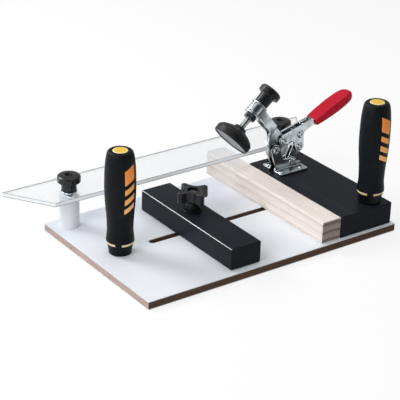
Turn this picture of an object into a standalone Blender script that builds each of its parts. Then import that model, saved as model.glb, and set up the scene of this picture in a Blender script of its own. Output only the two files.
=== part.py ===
import math

import bmesh
import bpy
from mathutils import Matrix, Vector

# Coping sled for a router table. Metres, X along the board, Y to the back, Z up.
# Places are measured from the front left corner of the board's underside.

CLEARANCE = 0.0003  # gap between pieces that touch
HOLE_MARGIN = 0.0003  # a hole's radius over that of what runs in it
OVERCUT = 0.0010  # how far a cutter runs past the face it cuts
FAR = 0.0500  # past every face of the piece that is cut
WELD_DISTANCE = 0.000005
SHARP_ANGLE = 35  # faces that meet at more than this stay sharp
ROUND_ANGLE = 40  # edges sharper than this are rounded
AXES_SIZE = 0.02  # how large a frame is drawn

# Board
BOARD_LENGTH = 0.3302
BOARD_WIDTH = 0.2093
BOARD_THICKNESS = 0.009
LAMINATE_THICKNESS = 0.0008
LAMINATE_GAP = 0.0002
SLOT_START_X = 0.0770
SLOT_END_X = 0.2300
SLOT_Y = 0.1090
SLOT_RADIUS = 0.0042
RECESS_DEPTH = 0.0046  # room under the board for the heads of its bolts
HEAD_CHANNEL_RADIUS = 0.0060

# Sliding fence
BAR_LEFT_X = 0.1087
BAR_WIDTH = 0.0389
BAR_FRONT_Y = 0.0085
BAR_LENGTH = 0.1716
BAR_TOP_Z = 0.0340
FENCE_BOLT_X = 0.1288
BOLT_RADIUS = 0.0039
BOLT_HEAD_RADIUS = 0.0065
BOLT_HEAD_LOW = 0.0005
BOLT_HEAD_HIGH = 0.0041
STAR_LOBE_RADIUS = 0.0040
STAR_LOBE_DISTANCE = 0.0155
STAR_VALLEY_RADIUS = 0.0120
STAR_LOBE_HEIGHT = 0.0122
STAR_NECK_RADIUS = 0.0095
STAR_HEIGHT = 0.0222
STAR_BOLT_END = 0.0200
STAR_EDGE_ROUND = 0.0010
INSERT_RADIUS = 0.0056
INSERT_DROP = 0.0035  # from the star knob's top down to its insert
FENCE_WASHER_RADIUS = 0.0120
FENCE_WASHER_THICKNESS = 0.0015

# Backer and fixed fence block
BACKER_LEFT_X = 0.2288
BACKER_FRONT_Y = 0.0056
BACKER_LENGTH = 0.2164
BACKER_TOP_Z = 0.0341
BLOCK_LEFT_X = 0.2549
BLOCK_WIDTH = 0.0720
BLOCK_FRONT_Y = 0.0043
BLOCK_LENGTH = 0.1690
BLOCK_TOP_Z = 0.0348
EDGE_ROUND = 0.0012
WOOD_SCREW_RADIUS = 0.0022
WOOD_SCREW_TOP_Z = 0.0240
WOOD_SCREW_HEAD_RADIUS = 0.0045
WOOD_SCREW_POINT = 0.0040
BLOCK_SCREWS = [(0.2680, 0.0450), (0.3130, 0.0900), (0.2680, 0.1600)]
BACKER_SCREWS = [(0.2418, 0.0300), (0.2418, 0.1780)]

# Hand grips: height above the grip's foot and radius, from the top down
GRIP_HEIGHT = 0.1187
GRIP_PROFILE = [
    (0.1184, 0.0119), (0.1174, 0.0132), (0.1130, 0.0149), (0.1060, 0.0158),
    (0.0950, 0.0166), (0.0780, 0.0169), (0.0620, 0.0164), (0.0450, 0.0149),
    (0.0280, 0.0142), (0.0200, 0.0149), (0.0155, 0.0153), (0.0110, 0.0139), (0.0, 0.0122),
]
GRIP_SLEEVE_WALL = 0.0016
GRIP_CAP_RADIUS = 0.0083
GRIP_CAP_DEPTH = 0.0040
GRIP_WINDOWS = [(0.0835, 0.0168), (0.0722, 0.0068), (0.0608, 0.0068), (0.0504, 0.0064)]
GRIP_WINDOW_HALF_WIDTH = 0.0063
GRIP_WINDOW_RISE = 0.0066
GRIP_BAND_LOW = 0.0121
GRIP_BAND_HIGH = 0.0155
GRIP_BAND_ARC = 65.0
GRIP_BAND_REACH = (0.0090, 0.0220)  # radii that take in the sleeve's wall
GRIP_STEPS = 24
GRIP_PLACES = {"left": (0.0345, 0.1075), "right": (0.3072, 0.0201)}
GRIP_TURNS = {"left": 6.0, "right": 184.0}
GRIP_BOLT_REACH = 0.0380  # length of the bolt inside the grip

# Guide on its two posts
GUIDE_LOW_Z = 0.0423
GUIDE_THICKNESS = 0.0050
GUIDE_FRONT_Y = 0.1774
GUIDE_BACK_Y = 0.2332
GUIDE_BACK_X = (-0.0390, 0.3710)
GUIDE_FRONT_X = (-0.0035, 0.3335)
GUIDE_TIP_FLAT = 0.0020
POST_RADIUS = 0.0112
POST_EDGE = 0.0005
POST_Y = 0.1903
POST_X = {"left": 0.0211, "right": 0.3123}
STUD_RADIUS = 0.0029
STUD_HEAD_RADIUS = 0.0050
GUIDE_SLOT_RADIUS = 0.0035
GUIDE_SLOT_LENGTH = 0.0190
GUIDE_WASHER_RADIUS = 0.0094
GUIDE_WASHER_THICKNESS = 0.0046

# Round knob of the guide posts and of the clamp spindle
KNOB_CAP_RADIUS = 0.0130
KNOB_CAP_HEIGHT = 0.0085
KNOB_SHANK_RADIUS = 0.0086
GUIDE_KNOB_HEIGHT = 0.0186
SPINDLE_KNOB_HEIGHT = 0.0214
KNOB_DISH_RADIUS = 0.0045
KNOB_DISH_DEPTH = 0.0026
KNOB_RIM_WIDTH = 0.0016
KNOB_CROWN_FALL = 0.0012
KNOB_EDGE_ROUND = 0.0024
KNOB_BORE_DEPTH = 0.0143

# Toggle clamp, pivots given in X and Z in the clamp's middle plane
CLAMP_Y = 0.1400
ARM_PIVOT = (0.2630, 0.0633)
ARM_OPEN_ANGLE = 50.8
LEVER_PIVOT_ON_ARM = (-0.0010, 0.0143)
LEVER_ANGLE = 17.1
LINK_PIVOT = (0.2870, 0.0440)
LEVER_LINK_PIN = (0.0193, -0.0189)
LEVER_SPACER_PIN = (0.0240, -0.0044)
PLATE_INNER = 0.0033  # half gap between the paired plates
PLATE_OUTER = 0.0058
MIDDLE_HALF = 0.0030  # half thickness of what runs between the paired plates
FLANGE_X = (0.2620, 0.3020)
FLANGE_REACH = 0.0180
FLANGE_THICKNESS = 0.0025
FLANGE_CORNER = 0.0024
BASE_VALLEY = (0.2745, 0.0485)
EYE_RADIUS = 0.0068
LEVER_EYE_RADIUS = 0.0064
ARM_EYE_RADIUS = 0.0095
SMALL_EYE_RADIUS = 0.0052
LINK_EYE_RADIUS = 0.0078
BASE_REAR_EYE_RADIUS = 0.0058
PIN_RADIUS = 0.0029
PIN_HOLE_RADIUS = 0.0032
PIN_HEAD_RADIUS = 0.0046
PIN_HEAD_HEIGHT = 0.0015
HEAD_FLAT = 0.6  # flat share of a domed head's radius
LINK_OPEN_RADIUS = 0.0049  # wide eye where the loop of four bars stays open
ARM_BAR_LOW = 0.0076
ARM_BAR_HIGH = 0.0182
ARM_NOSE = (-0.0595, 0.0117)  # where the spindle crosses the bar
NOSE_TILT = 2.0
ARM_HEEL_X = -0.0235  # where the bar's lower edge turns down to the pivot
ARM_HALF_WIDTH = 0.0095
ARM_STRIP = 0.0030
ARM_BEND_X = -0.0200
ARM_SPREAD_X = -0.0285
ARM_FORK_X = -0.0240
ARM_FORK_HALF = 0.0006
SPINDLE_RADIUS = 0.0038
SPINDLE_LOW = -0.0390
SPINDLE_HIGH = 0.0235
NOSE_WASHER_RADIUS = 0.0100
NOSE_WASHER_THICKNESS = 0.0020
NOSE_WASHER_GAP = 0.0007
NOSE_HUB_RADIUS = 0.0058
NOSE_HUB_LENGTH = 0.0040
LOCK_NUT_RADIUS = 0.0072
LOCK_NUT_HEIGHT = 0.0058
SPINDLE_KNOB_LOW = 0.0095
PAD_RADIUS = 0.0229
PAD_FACE_RADIUS = 0.0209
PAD_FACE_THICKNESS = 0.0016
PAD_LOW = -0.0448
PAD_HIGH = -0.0250
PAD_RIM_HEIGHT = 0.0072
PAD_NECK_RADIUS = 0.0072
PAD_NECK_HEIGHT = 0.0045
PAD_EDGE = 0.0010
PAD_DOME = [(0.0134, -0.0309), (0.0186, -0.0335)]  # radius and height
LEVER_LOBE_RADIUS = 0.0062
LEVER_TOP_EDGE = [(0.0462, 0.0040), (0.0290, 0.0052)]  # places in the lever's side view
LEVER_LOW_EDGE = [(0.0290, -0.0050), (0.0385, -0.0033), (0.0462, -0.0034)]
LEVER_POCKET_END = 0.0455
LEVER_WEB_START = 0.0310
LEVER_WEB_TOP = -0.0016
TANG_START = 0.0462
TANG_END = 0.0950
TANG_HALF_DEPTH = 0.0024
RED_GRIP_BEND_X = 0.0520
RED_GRIP_BEND = 6.8
RED_GRIP_ROWS = [  # place along the lever, half width and half depth
    (0.0470, 0.0092, 0.0042), (0.0485, 0.0096, 0.0046), (0.0566, 0.0100, 0.0055), (0.0778, 0.0104, 0.0067),
    (0.0958, 0.0097, 0.0062), (0.1013, 0.0085, 0.0053), (0.1048, 0.0064, 0.0040), (0.1071, 0.0040, 0.0024),
]
RED_GRIP_SIDES = 16
RED_GRIP_SQUARE = 0.4  # below one, the section is fuller than an ellipse
FLANGE_SCREW_RADIUS = 0.0020
FLANGE_SCREW_HEAD_RADIUS = 0.0036
FLANGE_SCREW_HEAD_HEIGHT = 0.0018
FLANGE_SCREW_DEPTH = 0.0110
FLANGE_SCREW_POINT = 0.0020
FLANGE_SCREW_OFFSET = 0.0120
FLANGE_SCREW_X = (0.2665, 0.2945)

# Colour, roughness and metallic value of each finish
FINISHES = {
    "white_laminate": ((0.90, 0.91, 0.93), 0.35, 0.0),
    "brown_fibreboard": ((0.30, 0.18, 0.11), 0.80, 0.0),
    "black_satin": ((0.025, 0.027, 0.032), 0.45, 0.0),
    "pale_wood": ((0.78, 0.66, 0.55), 0.60, 0.0),
    "zinc_steel": ((0.70, 0.73, 0.77), 0.28, 1.0),
    "black_plastic": ((0.018, 0.018, 0.020), 0.42, 0.0),
    "black_rubber": ((0.015, 0.015, 0.016), 0.70, 0.0),
    "grey_rubber": ((0.45, 0.46, 0.48), 0.60, 0.0),
    "orange_plastic": ((0.80, 0.36, 0.07), 0.40, 0.0),
    "red_vinyl": ((0.50, 0.01, 0.03), 0.35, 0.0),
    "white_plastic": ((0.86, 0.87, 0.88), 0.40, 0.0),
    "clear_acrylic": ((0.92, 0.96, 0.98), 0.05, 0.0),
}

BOARD_TOP = BOARD_THICKNESS + CLEARANCE  # where pieces on the board start


def clear_scene():
    for item in list(bpy.data.objects):
        bpy.data.objects.remove(item, do_unlink=True)


def make_collection(name):
    collection = bpy.data.collections.new(name)
    bpy.context.scene.collection.children.link(collection)
    return collection


def make_finish(name):
    colour, roughness, metallic = FINISHES[name]
    material = bpy.data.materials.new(name)
    material.use_nodes = True
    shader = material.node_tree.nodes["Principled BSDF"]
    shader.inputs["Base Color"].default_value = (*colour, 1.0)
    shader.inputs["Roughness"].default_value = roughness
    shader.inputs["Metallic"].default_value = metallic
    material.diffuse_color = (*colour, 1.0)
    return material


clear_scene()
parts = make_collection("coping_sled")
cutters = make_collection("coping_sled_cutters")
finishes = {finish: make_finish(finish) for finish in FINISHES}


def add_frame(name, place, parent=None, turn_y=0.0, turn_z=0.0):
    frame = bpy.data.objects.new(name, None)
    frame.empty_display_size = AXES_SIZE
    frame.location = place
    frame.rotation_euler = (0.0, math.radians(turn_y), math.radians(turn_z))
    frame.parent = parent
    parts.objects.link(frame)
    return frame


def add_piece(name, mesh, finish, parent):
    piece = bpy.data.objects.new(name, mesh)
    mesh.name = name
    mesh.materials.clear()
    mesh.materials.append(finishes[finish])
    mesh.shade_smooth()
    mesh.set_sharp_from_angle(angle=math.radians(SHARP_ANGLE))
    piece.parent = parent
    parts.objects.link(piece)
    return piece


def add_tool(name, mesh, parent):
    tool = bpy.data.objects.new(name, mesh)
    tool.parent = parent
    tool.hide_render = True
    tool.display_type = "WIRE"
    cutters.objects.link(tool)
    return tool


def combine(piece, mesh, operation="DIFFERENCE"):
    tool = add_tool(f"{piece.name}_{operation.lower()}_{len(piece.modifiers)}", mesh, piece.parent)
    step = piece.modifiers.new(operation.lower(), "BOOLEAN")
    step.operation = operation
    step.object = tool


def round_edges(piece, width, segments=2):
    step = piece.modifiers.new("rounded_edges", "BEVEL")
    step.width = width
    step.segments = segments
    step.limit_method = "ANGLE"
    step.angle_limit = math.radians(ROUND_ANGLE)


def arc(centre, radius, start, end, count):
    angles = [math.radians(start + (end - start) * i / count) for i in range(count + 1)]
    return [(centre[0] + radius * math.cos(a), centre[1] + radius * math.sin(a)) for a in angles]


def circle(centre, radius, count=12):
    return arc(centre, radius, 0, 360 - 360 / count, count - 1)


def stadium(start, end, radius, count=6):
    along = math.degrees(math.atan2(end[1] - start[1], end[0] - start[0]))
    near_end = arc(start, radius, along + 90, along + 270, count)
    far_end = arc(end, radius, along - 90, along + 90, count)
    return near_end + far_end


def rectangle(low, high):
    return [low, (high[0], low[1]), high, (low[0], high[1])]


def rounded_rectangle(low, high, radius, count=3):
    corners = [
        ((high[0] - radius, high[1] - radius), 0),
        ((low[0] + radius, high[1] - radius), 90),
        ((low[0] + radius, low[1] + radius), 180),
        ((high[0] - radius, low[1] + radius), 270),
    ]
    return [point for centre, start in corners for point in arc(centre, radius, start, start + 90, count)]


def weld(mesh):
    body = bmesh.new()
    body.from_mesh(mesh)
    bmesh.ops.remove_doubles(body, verts=body.verts, dist=WELD_DISTANCE)
    bmesh.ops.recalc_face_normals(body, faces=body.faces)
    body.to_mesh(mesh)
    body.free()


def plate_mesh(outlines, low, high, upright=False):
    # Flat outlines in X and Y spread from low to high in Z, or upright ones in X and Z along Y.
    curve = bpy.data.curves.new("outline", "CURVE")
    curve.dimensions = "2D"
    curve.fill_mode = "BOTH"
    curve.extrude = (high - low) / 2
    for outline in outlines:
        spline = curve.splines.new("POLY")
        spline.points.add(len(outline) - 1)
        for point, (x, y) in zip(spline.points, outline):
            point.co = (x, y, 0.0, 1.0)
        spline.use_cyclic_u = True
    sheet = bpy.data.objects.new("outline", curve)
    parts.objects.link(sheet)
    bpy.context.view_layer.update()
    graph = bpy.context.evaluated_depsgraph_get()
    mesh = bpy.data.meshes.new_from_object(sheet.evaluated_get(graph))
    bpy.data.objects.remove(sheet, do_unlink=True)
    bpy.data.curves.remove(curve)
    middle = (low + high) / 2
    if upright:
        mesh.transform(Matrix.Translation((0, middle, 0)) @ Matrix.Rotation(math.radians(90), 4, "X"))
    else:
        mesh.transform(Matrix.Translation((0, 0, middle)))
    weld(mesh)
    return mesh


def box_mesh(low, high):
    size = [b - a for a, b in zip(low, high)]
    centre = [(a + b) / 2 for a, b in zip(low, high)]
    body = bmesh.new()
    bmesh.ops.create_cube(body, size=1.0, matrix=Matrix.Translation(centre) @ Matrix.Diagonal((*size, 1.0)))
    mesh = bpy.data.meshes.new("box")
    body.to_mesh(mesh)
    body.free()
    return mesh


def loft_mesh(rows):
    # Rows of as many points each, joined side by side and closed at both ends.
    count = len(rows[0])
    faces = [list(range(count)), list(range((len(rows) - 1) * count, len(rows) * count))]
    for i in range(len(rows) - 1):
        for j in range(count):
            k = (j + 1) % count
            faces.append([i * count + j, i * count + k, (i + 1) * count + k, (i + 1) * count + j])
    mesh = bpy.data.meshes.new("loft")
    mesh.from_pydata([point for row in rows for point in row], [], faces)
    weld(mesh)
    return mesh


def rods_mesh(places, radius, low, high, sides=12):
    # Upright rods at each (x, y), as one mesh.
    body = bmesh.new()
    for x, y in places:
        turn = Matrix.Rotation(math.radians(180 / sides), 4, "Z")
        bmesh.ops.create_cone(body, cap_ends=True, segments=sides, radius1=radius, radius2=radius,
                              depth=high - low, matrix=Matrix.Translation((x, y, (low + high) / 2)) @ turn)
    mesh = bpy.data.meshes.new("rods")
    body.to_mesh(mesh)
    body.free()
    return mesh


def add_turned(name, profile, finish, parent, steps=16, closed=False):
    # Profile as (radius, height), down the outer side from top to bottom.
    mesh = bpy.data.meshes.new(name)
    edges = [(i, i + 1) for i in range(len(profile) - 1)]
    if closed:
        edges.append((len(profile) - 1, 0))
    mesh.from_pydata([(radius, 0.0, height) for radius, height in profile], edges, [])
    piece = add_piece(name, mesh, finish, parent)
    step = piece.modifiers.new("turned", "SCREW")
    step.axis = "Z"
    step.angle = math.radians(360)
    step.steps = steps
    step.render_steps = steps
    step.use_merge_vertices = True
    step.merge_threshold = WELD_DISTANCE
    return piece


def add_washer(name, inner, outer, low, high, finish, parent):
    profile = [(inner, high), (outer, high), (outer, low), (inner, low)]
    return add_turned(name, profile, finish, parent, closed=True)


def add_hex_bolt(name, head_radius, shank_radius, shank_high, parent):
    head = rods_mesh([(0, 0)], head_radius, BOLT_HEAD_LOW, BOLT_HEAD_HIGH, sides=6)
    bolt = add_piece(name, head, "zinc_steel", parent)
    combine(bolt, rods_mesh([(0, 0)], shank_radius, BOLT_HEAD_LOW + OVERCUT, shank_high), "UNION")
    return bolt


def add_knob(name, low, height, bore_radius, parent):
    high = low + height
    cap_low = high - KNOB_CAP_HEIGHT
    bore_high = low + KNOB_BORE_DEPTH
    crown = high - KNOB_CROWN_FALL
    profile = [
        (0, high - KNOB_DISH_DEPTH), (KNOB_DISH_RADIUS - KNOB_RIM_WIDTH, high - KNOB_DISH_DEPTH),
        (KNOB_DISH_RADIUS, high - KNOB_CROWN_FALL / 4), (KNOB_DISH_RADIUS + KNOB_RIM_WIDTH, high),
        (KNOB_CAP_RADIUS - KNOB_EDGE_ROUND, crown), (KNOB_CAP_RADIUS, crown - KNOB_EDGE_ROUND),
        (KNOB_CAP_RADIUS, cap_low), (KNOB_SHANK_RADIUS, cap_low), (KNOB_SHANK_RADIUS, low),
        (bore_radius, low), (bore_radius, bore_high), (0, bore_high),
    ]
    return add_turned(name, profile, "black_plastic", parent, steps=18)


def add_pin(name, place, reach, parent):
    # Headed pivot pin along Y, through plates whose outer faces lie at plus and minus reach.
    inner = reach + CLEARANCE
    outer = inner + PIN_HEAD_HEIGHT
    profile = [
        (0, outer), (PIN_HEAD_RADIUS * HEAD_FLAT, outer), (PIN_HEAD_RADIUS, inner), (PIN_RADIUS, inner),
        (PIN_RADIUS, -inner), (PIN_HEAD_RADIUS, -inner), (PIN_HEAD_RADIUS * HEAD_FLAT, -outer), (0, -outer),
    ]
    pin = add_turned(name, profile, "zinc_steel", parent, steps=12)
    pin.location = (place[0], 0, place[1])
    pin.rotation_euler = (math.radians(90), 0, 0)
    return pin


def make_board(sled):
    corner = (BOARD_LENGTH, BOARD_WIDTH)
    edge = rectangle((0, 0), corner)
    slot_ends = ((SLOT_START_X, SLOT_Y), (SLOT_END_X, SLOT_Y))
    posts = [(x, POST_Y) for x in POST_X.values()]
    screws = BLOCK_SCREWS + BACKER_SCREWS

    def holes(slot_radius, bolt_radius, stud_radius, screw_radius):
        bolts = [circle(place, bolt_radius) for place in GRIP_PLACES.values()]
        studs = [circle(place, stud_radius) for place in posts]
        small = [circle(place, screw_radius, 8) for place in screws]
        return [stadium(*slot_ends, slot_radius)] + bolts + studs + small

    through = holes(SLOT_RADIUS, BOLT_RADIUS + HOLE_MARGIN, STUD_RADIUS + HOLE_MARGIN,
                    WOOD_SCREW_RADIUS + HOLE_MARGIN)
    heads = holes(HEAD_CHANNEL_RADIUS, BOLT_HEAD_RADIUS + HOLE_MARGIN, STUD_HEAD_RADIUS + HOLE_MARGIN,
                  WOOD_SCREW_HEAD_RADIUS + 2 * HOLE_MARGIN)
    core_low = LAMINATE_THICKNESS + LAMINATE_GAP
    core_high = BOARD_THICKNESS - core_low
    skin_low = BOARD_THICKNESS - LAMINATE_THICKNESS
    underside = plate_mesh([edge] + heads, 0, LAMINATE_THICKNESS)
    middle = plate_mesh([edge] + through, core_low, core_high)
    topside = plate_mesh([edge] + through, skin_low, BOARD_THICKNESS)
    add_piece("board_bottom_laminate", underside, "white_laminate", sled)
    core = add_piece("board_core", middle, "brown_fibreboard", sled)
    combine(core, plate_mesh(heads, 0, RECESS_DEPTH))
    add_piece("board_top_laminate", topside, "white_laminate", sled)


def add_wood_screw(name, place, parent):
    profile = [
        (0, WOOD_SCREW_TOP_Z), (WOOD_SCREW_RADIUS, WOOD_SCREW_TOP_Z - WOOD_SCREW_POINT),
        (WOOD_SCREW_RADIUS, BOLT_HEAD_HIGH), (WOOD_SCREW_HEAD_RADIUS, BOLT_HEAD_HIGH),
        (WOOD_SCREW_HEAD_RADIUS, BOLT_HEAD_LOW), (0, BOLT_HEAD_LOW),
    ]
    screw = add_turned(name, profile, "zinc_steel", parent, steps=8)
    screw.location = (*place, 0)


def make_fixed_side(sled):
    block_low = (BLOCK_LEFT_X, BLOCK_FRONT_Y, BOARD_TOP)
    block_high = (BLOCK_LEFT_X + BLOCK_WIDTH, BLOCK_FRONT_Y + BLOCK_LENGTH, BLOCK_TOP_Z)
    block = add_piece("fixed_fence_block", box_mesh(block_low, block_high), "black_satin", sled)
    round_edges(block, EDGE_ROUND)
    screw_hole = WOOD_SCREW_RADIUS + HOLE_MARGIN
    hole_top = WOOD_SCREW_TOP_Z + CLEARANCE
    combine(block, rods_mesh(BLOCK_SCREWS, screw_hole, 0, hole_top, sides=8))
    combine(block, rods_mesh([GRIP_PLACES["right"]], BOLT_RADIUS + HOLE_MARGIN, 0, BLOCK_TOP_Z + OVERCUT))
    flange_screws = [(x, CLAMP_Y + side * FLANGE_SCREW_OFFSET) for x in FLANGE_SCREW_X for side in (-1, 1)]
    flange_hole_low = BLOCK_TOP_Z - FLANGE_SCREW_DEPTH - CLEARANCE
    combine(block, rods_mesh(flange_screws, FLANGE_SCREW_RADIUS + HOLE_MARGIN, flange_hole_low,
                             BLOCK_TOP_Z + OVERCUT, sides=8))
    for number, place in enumerate(BLOCK_SCREWS, 1):
        add_wood_screw(f"block_screw_{number}", place, sled)

    backer_low = (BACKER_LEFT_X, BACKER_FRONT_Y, BOARD_TOP)
    backer_high = (BLOCK_LEFT_X - CLEARANCE, BACKER_FRONT_Y + BACKER_LENGTH, BACKER_TOP_Z)
    backer = add_piece("wood_backer", box_mesh(backer_low, backer_high), "pale_wood", sled)
    round_edges(backer, EDGE_ROUND)
    combine(backer, rods_mesh(BACKER_SCREWS, screw_hole, 0, hole_top, sides=8))
    for number, place in enumerate(BACKER_SCREWS, 1):
        add_wood_screw(f"backer_screw_{number}", place, sled)


def star_outline():
    # Four round tips joined by hollow arcs that meet them smoothly.
    reach = STAR_LOBE_RADIUS + STAR_VALLEY_RADIUS
    half = STAR_LOBE_DISTANCE * math.cos(math.radians(45))
    valley = half + math.sqrt(half ** 2 - STAR_LOBE_DISTANCE ** 2 + reach ** 2)
    lean = math.degrees(math.atan2(valley * math.sin(math.radians(45)),
                                   valley * math.cos(math.radians(45)) - STAR_LOBE_DISTANCE))
    outline = []
    for turn in (0, 90, 180, 270):
        tip_centre = arc((0, 0), STAR_LOBE_DISTANCE, turn, turn, 1)[0]
        valley_centre = arc((0, 0), valley, turn + 45, turn + 45, 1)[0]
        outline += arc(tip_centre, STAR_LOBE_RADIUS, turn - lean, turn + lean, 6)
        outline += arc(valley_centre, STAR_VALLEY_RADIUS, turn + lean + 180, turn + 270 - lean, 5)[1:-1]
    return outline


def make_sliding_fence(sled):
    fence = add_frame("sliding_fence", (FENCE_BOLT_X, SLOT_Y, 0), sled)
    left = BAR_LEFT_X - FENCE_BOLT_X
    front = BAR_FRONT_Y - SLOT_Y
    low = (left, front, BOARD_TOP)
    high = (left + BAR_WIDTH, front + BAR_LENGTH, BAR_TOP_Z)
    bar = add_piece("sliding_fence_bar", box_mesh(low, high), "black_satin", fence)
    round_edges(bar, EDGE_ROUND)
    combine(bar, rods_mesh([(0, 0)], BOLT_RADIUS + HOLE_MARGIN, 0, BAR_TOP_Z + OVERCUT))

    washer_low = BAR_TOP_Z + CLEARANCE
    washer_high = washer_low + FENCE_WASHER_THICKNESS
    bolt_room = BOLT_RADIUS + HOLE_MARGIN
    add_washer("fence_washer", bolt_room, FENCE_WASHER_RADIUS, washer_low, washer_high, "black_plastic", fence)
    knob_low = washer_high + CLEARANCE
    knob_high = knob_low + STAR_HEIGHT
    add_hex_bolt("fence_bolt", BOLT_HEAD_RADIUS, BOLT_RADIUS, knob_low + STAR_BOLT_END, fence)

    axis = add_frame("star_knob_axis", (0, 0, 0), fence)
    lobes = plate_mesh([star_outline()], knob_high - STAR_LOBE_HEIGHT, knob_high)
    knob = add_piece("star_knob", lobes, "black_plastic", axis)
    round_edges(knob, STAR_EDGE_ROUND)
    neck_high = knob_high - STAR_LOBE_HEIGHT / 2
    combine(knob, rods_mesh([(0, 0)], STAR_NECK_RADIUS, knob_low, neck_high, sides=20), "UNION")
    insert_room = INSERT_RADIUS + HOLE_MARGIN
    combine(knob, rods_mesh([(0, 0)], insert_room, knob_low - OVERCUT, knob_high + OVERCUT, sides=16))
    insert_high = knob_high - INSERT_DROP
    insert = [(bolt_room, insert_high), (INSERT_RADIUS, insert_high),
              (INSERT_RADIUS, knob_low), (bolt_room, knob_low)]
    add_turned("star_knob_insert", insert, "zinc_steel", axis, steps=12, closed=True)


def make_hand_grip(side, foot, sled):
    place = (*GRIP_PLACES[side], 0)
    grip = add_frame(f"{side}_grip", place, sled, turn_z=GRIP_TURNS[side])
    outer = [(radius, foot + height) for height, radius in GRIP_PROFILE]
    shoulder = GRIP_HEIGHT - GRIP_CAP_DEPTH
    walled = [(height, radius - GRIP_SLEEVE_WALL) for height, radius in GRIP_PROFILE[2::2]]
    cap_room = GRIP_CAP_RADIUS + HOLE_MARGIN
    inner = [(cap_room, outer[0][1]), (cap_room, foot + shoulder), (walled[0][1], foot + shoulder)]
    inner += [(radius, foot + height) for height, radius in walled]
    wall = outer + inner[::-1]
    sleeve = add_turned(f"{side}_grip_sleeve", wall, "black_rubber", grip, GRIP_STEPS, closed=True)

    across = GRIP_WINDOW_HALF_WIDTH
    windows = []
    for low, height in GRIP_WINDOWS:
        left_low = foot + low
        right_low = left_low + GRIP_WINDOW_RISE
        windows.append([(-across, left_low), (across, right_low), (across, right_low + height),
                        (-across, left_low + height)])
    combine(sleeve, plate_mesh(windows, -FAR, FAR, upright=True))
    band = []
    for turn in (0, 90, 180, 270):
        start = turn - GRIP_BAND_ARC / 2
        end = turn + GRIP_BAND_ARC / 2
        inside = arc((0, 0), GRIP_BAND_REACH[0], end, start, 4)
        band.append(arc((0, 0), GRIP_BAND_REACH[1], start, end, 4) + inside)
    combine(sleeve, plate_mesh(band, foot + GRIP_BAND_LOW, foot + GRIP_BAND_HIGH))

    top = foot + GRIP_HEIGHT
    core_shoulder = foot + shoulder - CLEARANCE
    room = BOLT_RADIUS + HOLE_MARGIN
    profile = [(0, top), (GRIP_CAP_RADIUS, top), (GRIP_CAP_RADIUS, core_shoulder),
               (walled[0][1] - CLEARANCE, core_shoulder)]
    profile += [(radius - CLEARANCE, foot + height) for height, radius in walled]
    bore_high = foot + GRIP_BOLT_REACH + OVERCUT
    profile += [(room, foot), (room, bore_high), (0, bore_high)]
    add_turned(f"{side}_grip_core", profile, "orange_plastic", grip, GRIP_STEPS)
    add_hex_bolt(f"{side}_grip_bolt", BOLT_HEAD_RADIUS, BOLT_RADIUS, foot + GRIP_BOLT_REACH, grip)


def make_guide(sled):
    guide = add_frame("guide", (0, POST_Y, 0), sled)
    front = GUIDE_FRONT_Y - POST_Y
    back = GUIDE_BACK_Y - POST_Y
    tip = back - GUIDE_TIP_FLAT
    edge = [(GUIDE_FRONT_X[0], front), (GUIDE_FRONT_X[1], front), (GUIDE_BACK_X[1], tip),
            (GUIDE_BACK_X[1], back), (GUIDE_BACK_X[0], back), (GUIDE_BACK_X[0], tip)]
    half_slot = GUIDE_SLOT_LENGTH / 2 - GUIDE_SLOT_RADIUS
    slots = [stadium((x, -half_slot), (x, half_slot), GUIDE_SLOT_RADIUS) for x in POST_X.values()]
    guide_high = GUIDE_LOW_Z + GUIDE_THICKNESS
    add_piece("guide_plate", plate_mesh([edge] + slots, GUIDE_LOW_Z, guide_high), "clear_acrylic", guide)

    stud_room = STUD_RADIUS + HOLE_MARGIN
    washer_low = guide_high + CLEARANCE
    washer_high = washer_low + GUIDE_WASHER_THICKNESS
    knob_low = washer_high + CLEARANCE
    for side, x in POST_X.items():
        axis = add_frame(f"{side}_guide_knob_axis", (x, POST_Y, 0), sled)
        post_high = GUIDE_LOW_Z - CLEARANCE
        post = [(stud_room, post_high), (POST_RADIUS - POST_EDGE, post_high),
                (POST_RADIUS, post_high - POST_EDGE), (POST_RADIUS, BOARD_TOP), (stud_room, BOARD_TOP)]
        add_turned(f"{side}_post", post, "white_plastic", axis, steps=20, closed=True)
        stud_high = knob_low + KNOB_BORE_DEPTH - OVERCUT
        add_hex_bolt(f"{side}_post_stud", STUD_HEAD_RADIUS, STUD_RADIUS, stud_high, axis)
        add_washer(f"{side}_guide_washer", stud_room, GUIDE_WASHER_RADIUS, washer_low, washer_high,
                   "zinc_steel", axis)
        add_knob(f"{side}_guide_knob", knob_low, GUIDE_KNOB_HEIGHT, stud_room, axis)


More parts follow.
